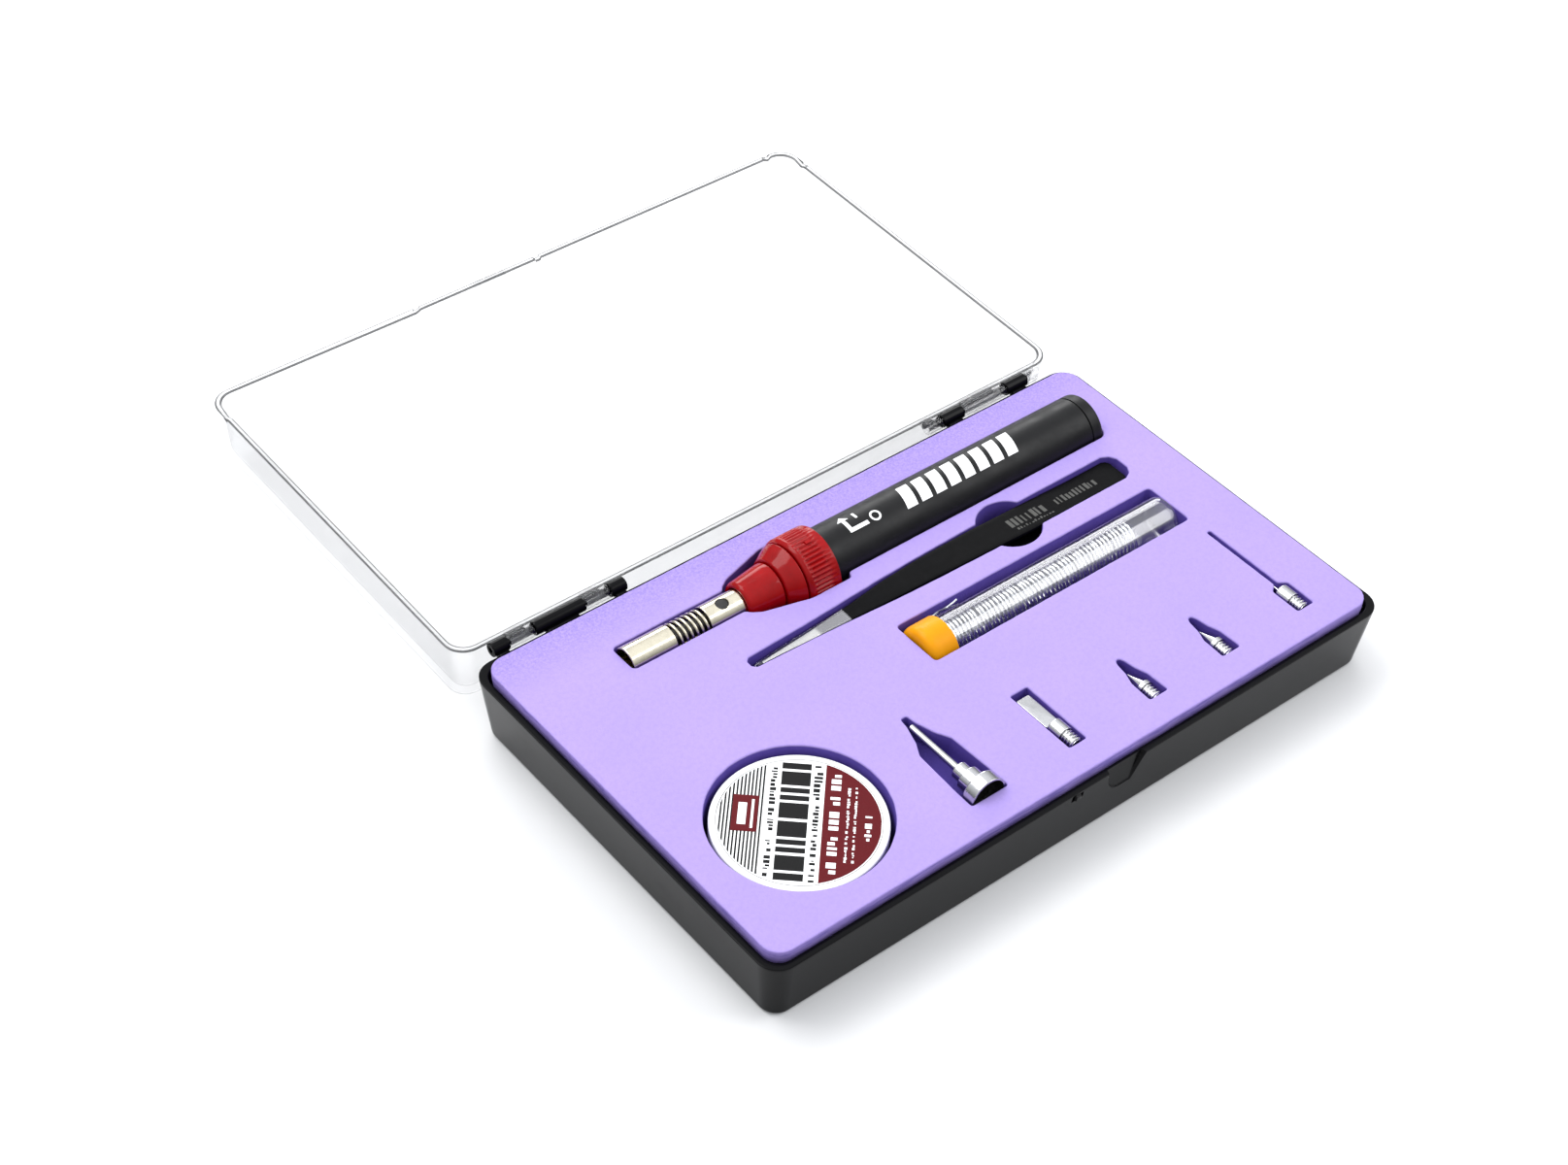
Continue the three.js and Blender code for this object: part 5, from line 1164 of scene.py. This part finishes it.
def make_jar(white, paper, paste, black, crimson, pale):
    """A low screw jar: turned body and lid, a paper disc printed with strips, blocks and rows of short
    marks, and paste whose top is a disc with smooth irregular waves."""
    at = np.array([JAR_X, JAR_Y, 0])
    shelf = box_of("flux_jar_lid")[0][2] - 0.3
    rim = JAR_TOP - 1.6
    profile = softened(
        [
            [JAR_BOTTOM, 0], [JAR_BOTTOM, 21.1], [shelf, 21.1], [shelf, 19.9], [rim, 19.9], [rim, 18.6],
            [JAR_BOTTOM + 1.3, 18.6], [JAR_BOTTOM + 1.3, 0]
        ],
        [0, 1.0, 0.3, 0.2, 0.3, 0.3, 0.8, 0], 5
    )
    piece("jar_body", "flux", [turned(profile, "z", at, 96)], white, ["flux_jar"])
    skirt = box_of("flux_jar_lid")[0][2]
    seat = JAR_TOP - 0.57
    profile = softened(
        [
            [JAR_TOP - 1.3, 0], [JAR_TOP - 1.3, 20.2], [skirt, 20.2], [skirt, 21.5], [JAR_TOP, 21.5],
            [JAR_TOP, LABEL_RADIUS + 0.25], [seat, LABEL_RADIUS + 0.25], [seat, 0]
        ],
        [0, 0.3, 0.2, 0.3, 1.5, 0.12, 0.1, 0], 7
    )
    piece("jar_cap", "flux_lid", [turned(profile, "z", at, 120)], white, ["flux_jar_lid"])
    low, high = box_of("flux_jar_label")
    disc = rod(low[2], JAR_TOP - 0.02, LABEL_RADIUS, "z", at, 0.1, 120)
    piece("jar_label", "flux_lid", [disc], paper, ["flux_jar_label"])
    dark = [label_strip(-20, 20, v, v + 0.45, 2) for v in np.arange(8.9, 18.5, 0.87)]
    dark += label_ticks(-17.6, -6.5, 6.1, 7.6, 4) + label_ticks(-3.5, 17.6, 6.1, 7.6, 5)
    blocks = [(-18.4, 2.2), (-15.4, 4.6), (-9.9, 1.6), (-7.5, 1.6), (-5.1, 4.9), (0.7, 4.9)]
    blocks += [(6.4, 1.6), (8.8, 1.6), (11.2, 4.4), (16.4, 2.0)]
    dark += [label_strip(u, u + w, -1.9, 5.1, 9) for u, w in blocks]
    dark += label_ticks(-18.5, 5.5, -4.4, -3.0, 6, size=0.9)
    dark += label_ticks(7.0, 18.0, -4.8, -2.7, 7, size=1.2)
    piece("label_dark_print", "flux_lid", dark, black)
    red = [label_strip(-20, 20, -19.25, -5.4, 60), label_strip(-4.3, 7.1, 9.9, 16.0, 3, 0.03)]
    piece("label_red_print", "flux_lid", red, crimson)
    rows = [(-15.5, 15.5, -9.2, -6.9, 8, 1.8), (-11.8, 11.8, -11.6, -10.9, 9, 0.7)]
    rows += [(-11.8, 11.8, -13.3, -12.7, 10, 0.7), (-4.7, 3.1, -17.0, -15.4, 12, 1.5)]
    marks = [mark for *place, size in rows for mark in label_ticks(*place, 0.035, size)]
    marks += [label_strip(-3.2, 5.8, 10.9, 11.5, 3, 0.065), label_strip(-2.2, 4.6, 12.6, 14.6, 3, 0.065)]
    piece("label_pale_print", "flux_lid", marks, pale)
    low, high = box_of("flux_paste")
    angle = np.arange(72) * TURN / 72
    r = np.linspace(0, 17.8, 30)[:, None]
    x, y = JAR_X + r * np.cos(angle), JAR_Y + r * np.sin(angle)
    z = high[2] - 0.35 + 0.3 * waves(x, y, 5, 16) - 0.01 * r
    surface = np.stack([x, y, z], -1)
    foot = np.stack([x[-1], y[-1], np.full(72, low[2])], -1)[None]
    grid = np.concatenate([surface, foot, np.broadcast_to(foot.mean(1), foot.shape)])
    piece("jar_paste", "flux", [skin(grid)], paste, ["flux_paste"])


# ---- Tips ----
SCREW_END = 3.9
SCREW_RADIUS = 2.1
SCREW_DEPTH = 0.2
SCREW_BORE = 1.2
COLLAR = 2.4


def thread_profile():
    """A screw's outline: the radius falls and rises once in each of four turns, with flattened crests."""
    s = np.linspace(0, SCREW_END, 80)
    wave = np.clip(1.35 * np.cos(s / SCREW_END * 4 * TURN + math.pi), -1, 1)
    return np.stack([s, SCREW_RADIUS - SCREW_DEPTH + SCREW_DEPTH * wave], 1)


def tip_base(at, hole):
    """A threaded base, open at its far end with a hole of the given radius."""
    start, end = SCREW_END, 8.2
    collar = [[start, 1.8], [start, COLLAR], [end, COLLAR], [end, hole], [start, hole]]
    collar = softened(collar, [0, 0.15, 0.35, 0.1, 0])
    profile = np.concatenate([[[0.0, SCREW_BORE]], thread_profile(), collar, [[start, SCREW_BORE]]])
    return turned(profile, "y", at, 64)


def cone_shell(at):
    """A threaded base with a collar and a solid cone."""
    start = SCREW_END
    nose = [[start, 1.8], [start, COLLAR], [5.1, COLLAR], [5.2, 1.9], [10.5, 0.3], [10.7, 0]]
    nose = softened(nose, [0, 0.12, 0.12, 0.1, 0.2, 0])
    bore = [[4.3, 0], [start, SCREW_BORE], [0.0, SCREW_BORE]]
    return turned(np.concatenate([bore, thread_profile(), nose]), "y", at, 64)


def make_tips(steel, painted_shade_black):
    """Five tips that screw in: a blow hood with its nozzle, a flat blade, two cones and a needle. Each round
    one is a profile turned about Y."""
    at = TIP_AT[0]
    hood = softened(
        [
            [0, 4.7], [0, 5.3], [3.7, 5.3], [3.7, 3.3], [7.7, 3.3], [7.7, 2.4], [10.8, 2.4], [10.8, 1.35],
            [4.3, 1.35], [4.3, 2.2], [3.0, 4.7]
        ],
        [0.12, 0.2, 0.45, 0.2, 0.3, 0.15, 0.3, 0.1, 0.1, 0.3, 0.5], 5, closed=True
    )
    points, faces = turned(hood, "y", at, 80)
    # Painted shade: the inside of the hood's mouth takes the black second paint.
    painted_shade_rows = np.repeat((np.arange(len(hood)) >= 72).astype(int), 80)
    piece("blow_hood", "blow_tip", [(points, faces, painted_shade_rows)], [steel, painted_shade_black], ["blow_tip_hood"])
    low, high = box_of("blow_tip_tube")
    reach = (high[2] - low[2]) / 2
    tube = turned(
        softened(
            [
                [low[1], 0.5], [low[1], reach - 0.01], [low[1] + 6.5, reach - 0.01],
                [high[1], reach - 0.17], [high[1], 0.5]
            ],
            [0.1, 0.1, 3, 0.12, 0.1], 4, closed=True
        ),
        "y", [at[0], 0, at[2]], 40
    )
    piece("blow_nozzle", "blow_tip", [tube], steel, ["blow_tip_tube"])
    at = TIP_AT[1]
    piece("blade_base", "blade_tip", [tip_base(at, 1.4)], steel, ["blade_tip_base"])
    low, high = box_of("blade_tip_blade")
    flat = block([low[0], at[1] + 8.4, at[2] - 0.4], [high[0], high[1], at[2] + 0.4], 0.12, 0.4)
    shank = rod(4.9, 8.8, 1.1, "y", at, 0.15, 40)
    piece("blade_flat", "blade_tip", [flat, shank], steel, ["blade_tip_blade"])
    piece("cone_left", "cone_tip_a", [cone_shell(TIP_AT[2])], steel, ["cone_tip_a"])
    piece("cone_right", "cone_tip_b", [cone_shell(TIP_AT[3])], steel, ["cone_tip_b"])
    at = TIP_AT[4]
    piece("needle_base", "needle_tip", [tip_base(at, 0.7)], steel, ["needle_tip_base"])
    point = softened([[4.9, 0], [4.9, 0.4], [32.6, 0.4], [34.2, 0.05], [34.2, 0]], 0.2)
    needle = turned(point, "y", at, 32)
    piece("needle_point", "needle_tip", [needle], steel, ["needle_tip_needle"])


# ---- Camera, light and floor ----
def make_camera():
    right, up = (0.77971, -0.62516, 0.03501), (0.41082, 0.55297, 0.72488)
    view = (0.47253, 0.55081, -0.68799)
    place = (-0.35976, -0.35991, 0.51702)
    rows = [[right[k], up[k], -view[k], place[k]] for k in range(3)] + [[0, 0, 0, 1]]
    data = bpy.data.cameras.new("camera")
    data.lens = 65.083
    data.sensor_width = 36
    data.clip_start = 0.01
    camera = bpy.data.objects.new("camera", data)
    camera.matrix_world = Matrix(rows)
    bpy.context.scene.collection.objects.link(camera)
    bpy.context.scene.camera = camera


def soft_lamp(name, place, target, size, power):
    """A rectangular lamp that looks at its target."""
    data = bpy.data.lights.new(name, "AREA")
    data.shape = "RECTANGLE"
    data.size, data.size_y = size
    data.energy = power
    lamp = bpy.data.objects.new(name, data)
    ahead = np.array(target, float) - np.array(place, float)
    back = unit(-ahead)
    side = unit(np.cross([0, 0, 1.0], back))
    top = np.cross(back, side)
    rows = [[side[k], top[k], back[k], place[k]] for k in range(3)] + [[0, 0, 0, 1]]
    lamp.matrix_world = Matrix(rows)
    lamp.visible_camera = False
    bpy.context.scene.collection.objects.link(lamp)


def make_studio():
    """A plain pale floor under a room that brightens upwards, with three soft lamps."""
    world = bpy.data.worlds.new("studio")
    world.use_nodes = True
    background = world.node_tree.nodes["Background"]
    background.inputs["Color"].default_value = (0.93, 0.95, 1.0, 1)
    nodes, links = world.node_tree.nodes, world.node_tree.links
    height = nodes.new("ShaderNodeSeparateXYZ")
    links.new(nodes.new("ShaderNodeTexCoord").outputs["Generated"], height.inputs[0])
    rise = nodes.new("ShaderNodeMapRange")
    for socket, number in zip(("From Min", "From Max", "To Min", "To Max"), (0.0, 0.85, 0.22, 1.65)):
        rise.inputs[socket].default_value = number
    links.new(height.outputs["Z"], rise.inputs["Value"])
    links.new(rise.outputs["Result"], background.inputs["Strength"])
    bpy.context.scene.world = world
    soft_lamp("key", (-0.25, 0.55, 0.95), (0, 0.05, 0), (0.9, 0.6), 9)
    soft_lamp("back", (0.62, 1.05, 0.5), (0, 0.02, 0), (0.9, 0.4), 6)
    soft_lamp("fill", (0.8, -0.5, 0.8), (0, 0, 0), (0.7, 0.7), 5)
    bpy.context.scene.view_settings.view_transform = "Standard"
    paint = Paint("pale_floor", (0.66, 0.66, 0.655), 0.9)
    paint.blotch(60, (0.645, 0.645, 0.645), 0.5, 0.3, 0.8, 3)
    reach = 3000.0
    corners = np.array([[-reach, -reach], [reach, -reach], [reach, reach], [-reach, reach]])
    mesh = bpy.data.meshes.new("floor")
    mesh.from_pydata([(x * MM, y * MM, -0.00005) for x, y in corners], [], [(0, 1, 2, 3)])
    mesh.materials.append(paint.material)
    floor = bpy.data.objects.new("floor", mesh)
    bpy.context.scene.collection.objects.link(floor)


# ---- Everything in order ----
make_camera()
make_studio()
black_case = black_styrene()
# The second film is painted shade, dark and nearly solid, for the lid's rim edges.
clear_case = [
    clear_film("clear_styrene", 0.34, 0.055, 0.46), clear_film("clear_styrene_painted_edge_shade", 0.05, 0.86, 0.93)
]
clear_vial = clear_film("clear_vial", 0.62, 0.13, 0.72)
clear_guard = clear_film("clear_guard", 0.35, 0.07, 0.6)
foam = [lavender_foam("lavender_foam", FOAM_TOP, False), lavender_foam("cut_foam", FOAM_TOP, True)]
handle_black = satin_black()
red = red_plastic()
nickel = plated("warm_nickel", (0.62, 0.575, 0.45), 0.13, (8, 1, 1))
dark_steel = plain("dark_steel", (0.05, 0.048, 0.046), 0.42, 1.0)
brass = plain("turned_brass", (0.60, 0.42, 0.16), 0.3, 1.0)
# A black paint that is painted shade, in the air hole and inside the blow hood.
painted_shade_black = plain("painted_shade_black", (0.006, 0.0055, 0.005), 0.65, 0.0, 3.0)
seal_rubber = plain("seal_rubber", (0.02, 0.02, 0.02), 0.7)
cotton = plain("wick_cotton", (0.75, 0.72, 0.62), 0.9, 0.0, 4.0)
tin = plated("solder_tin", (0.66, 0.67, 0.68), 0.18)
tip_steel = plated("tip_steel", (0.52, 0.52, 0.52), 0.13, (1, 8, 1))
white = white_plastic()
paste = plain("flux_paste_amber", (0.52, 0.33, 0.10), 0.35)
white_ink = printed_ink("white_ink", (0.86, 0.86, 0.86))
black_ink = printed_ink("black_ink", (0.004, 0.004, 0.004))
dull_ink = printed_ink("dull_ink", (0.07, 0.07, 0.065))
red_ink = printed_ink("red_ink", (0.085, 0.0015, 0.004))

make_case_base(black_case)
make_case_lid(clear_case)
make_foam(foam)
make_handle(handle_black, white_ink)
make_end_cap(handle_black)
make_dial(red)
make_nose(red)
make_barrel(nickel, dark_steel, brass, painted_shade_black)
make_wick(cotton)
make_tweezers(coated_tweezers(TWEEZERS_TIP), dark_steel, clear_guard, dull_ink)
make_solder(clear_vial, orange_plastic(), tin)
make_jar(white, label_paper(), paste, black_ink, red_ink, white_ink)
make_tips(tip_steel, painted_shade_black)

for node, paint in {
    "iron_end_seal": seal_rubber, "iron_fill_valve": brass, "iron_fill_stem": brass,
    "iron_valve_body": brass, "iron_valve_seal": seal_rubber, "iron_valve_stem": brass,
    "iron_valve_spring": dark_steel, "iron_gas_jet": brass
}.items():
    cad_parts[node].data.materials.clear()
    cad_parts[node].data.materials.append(paint)
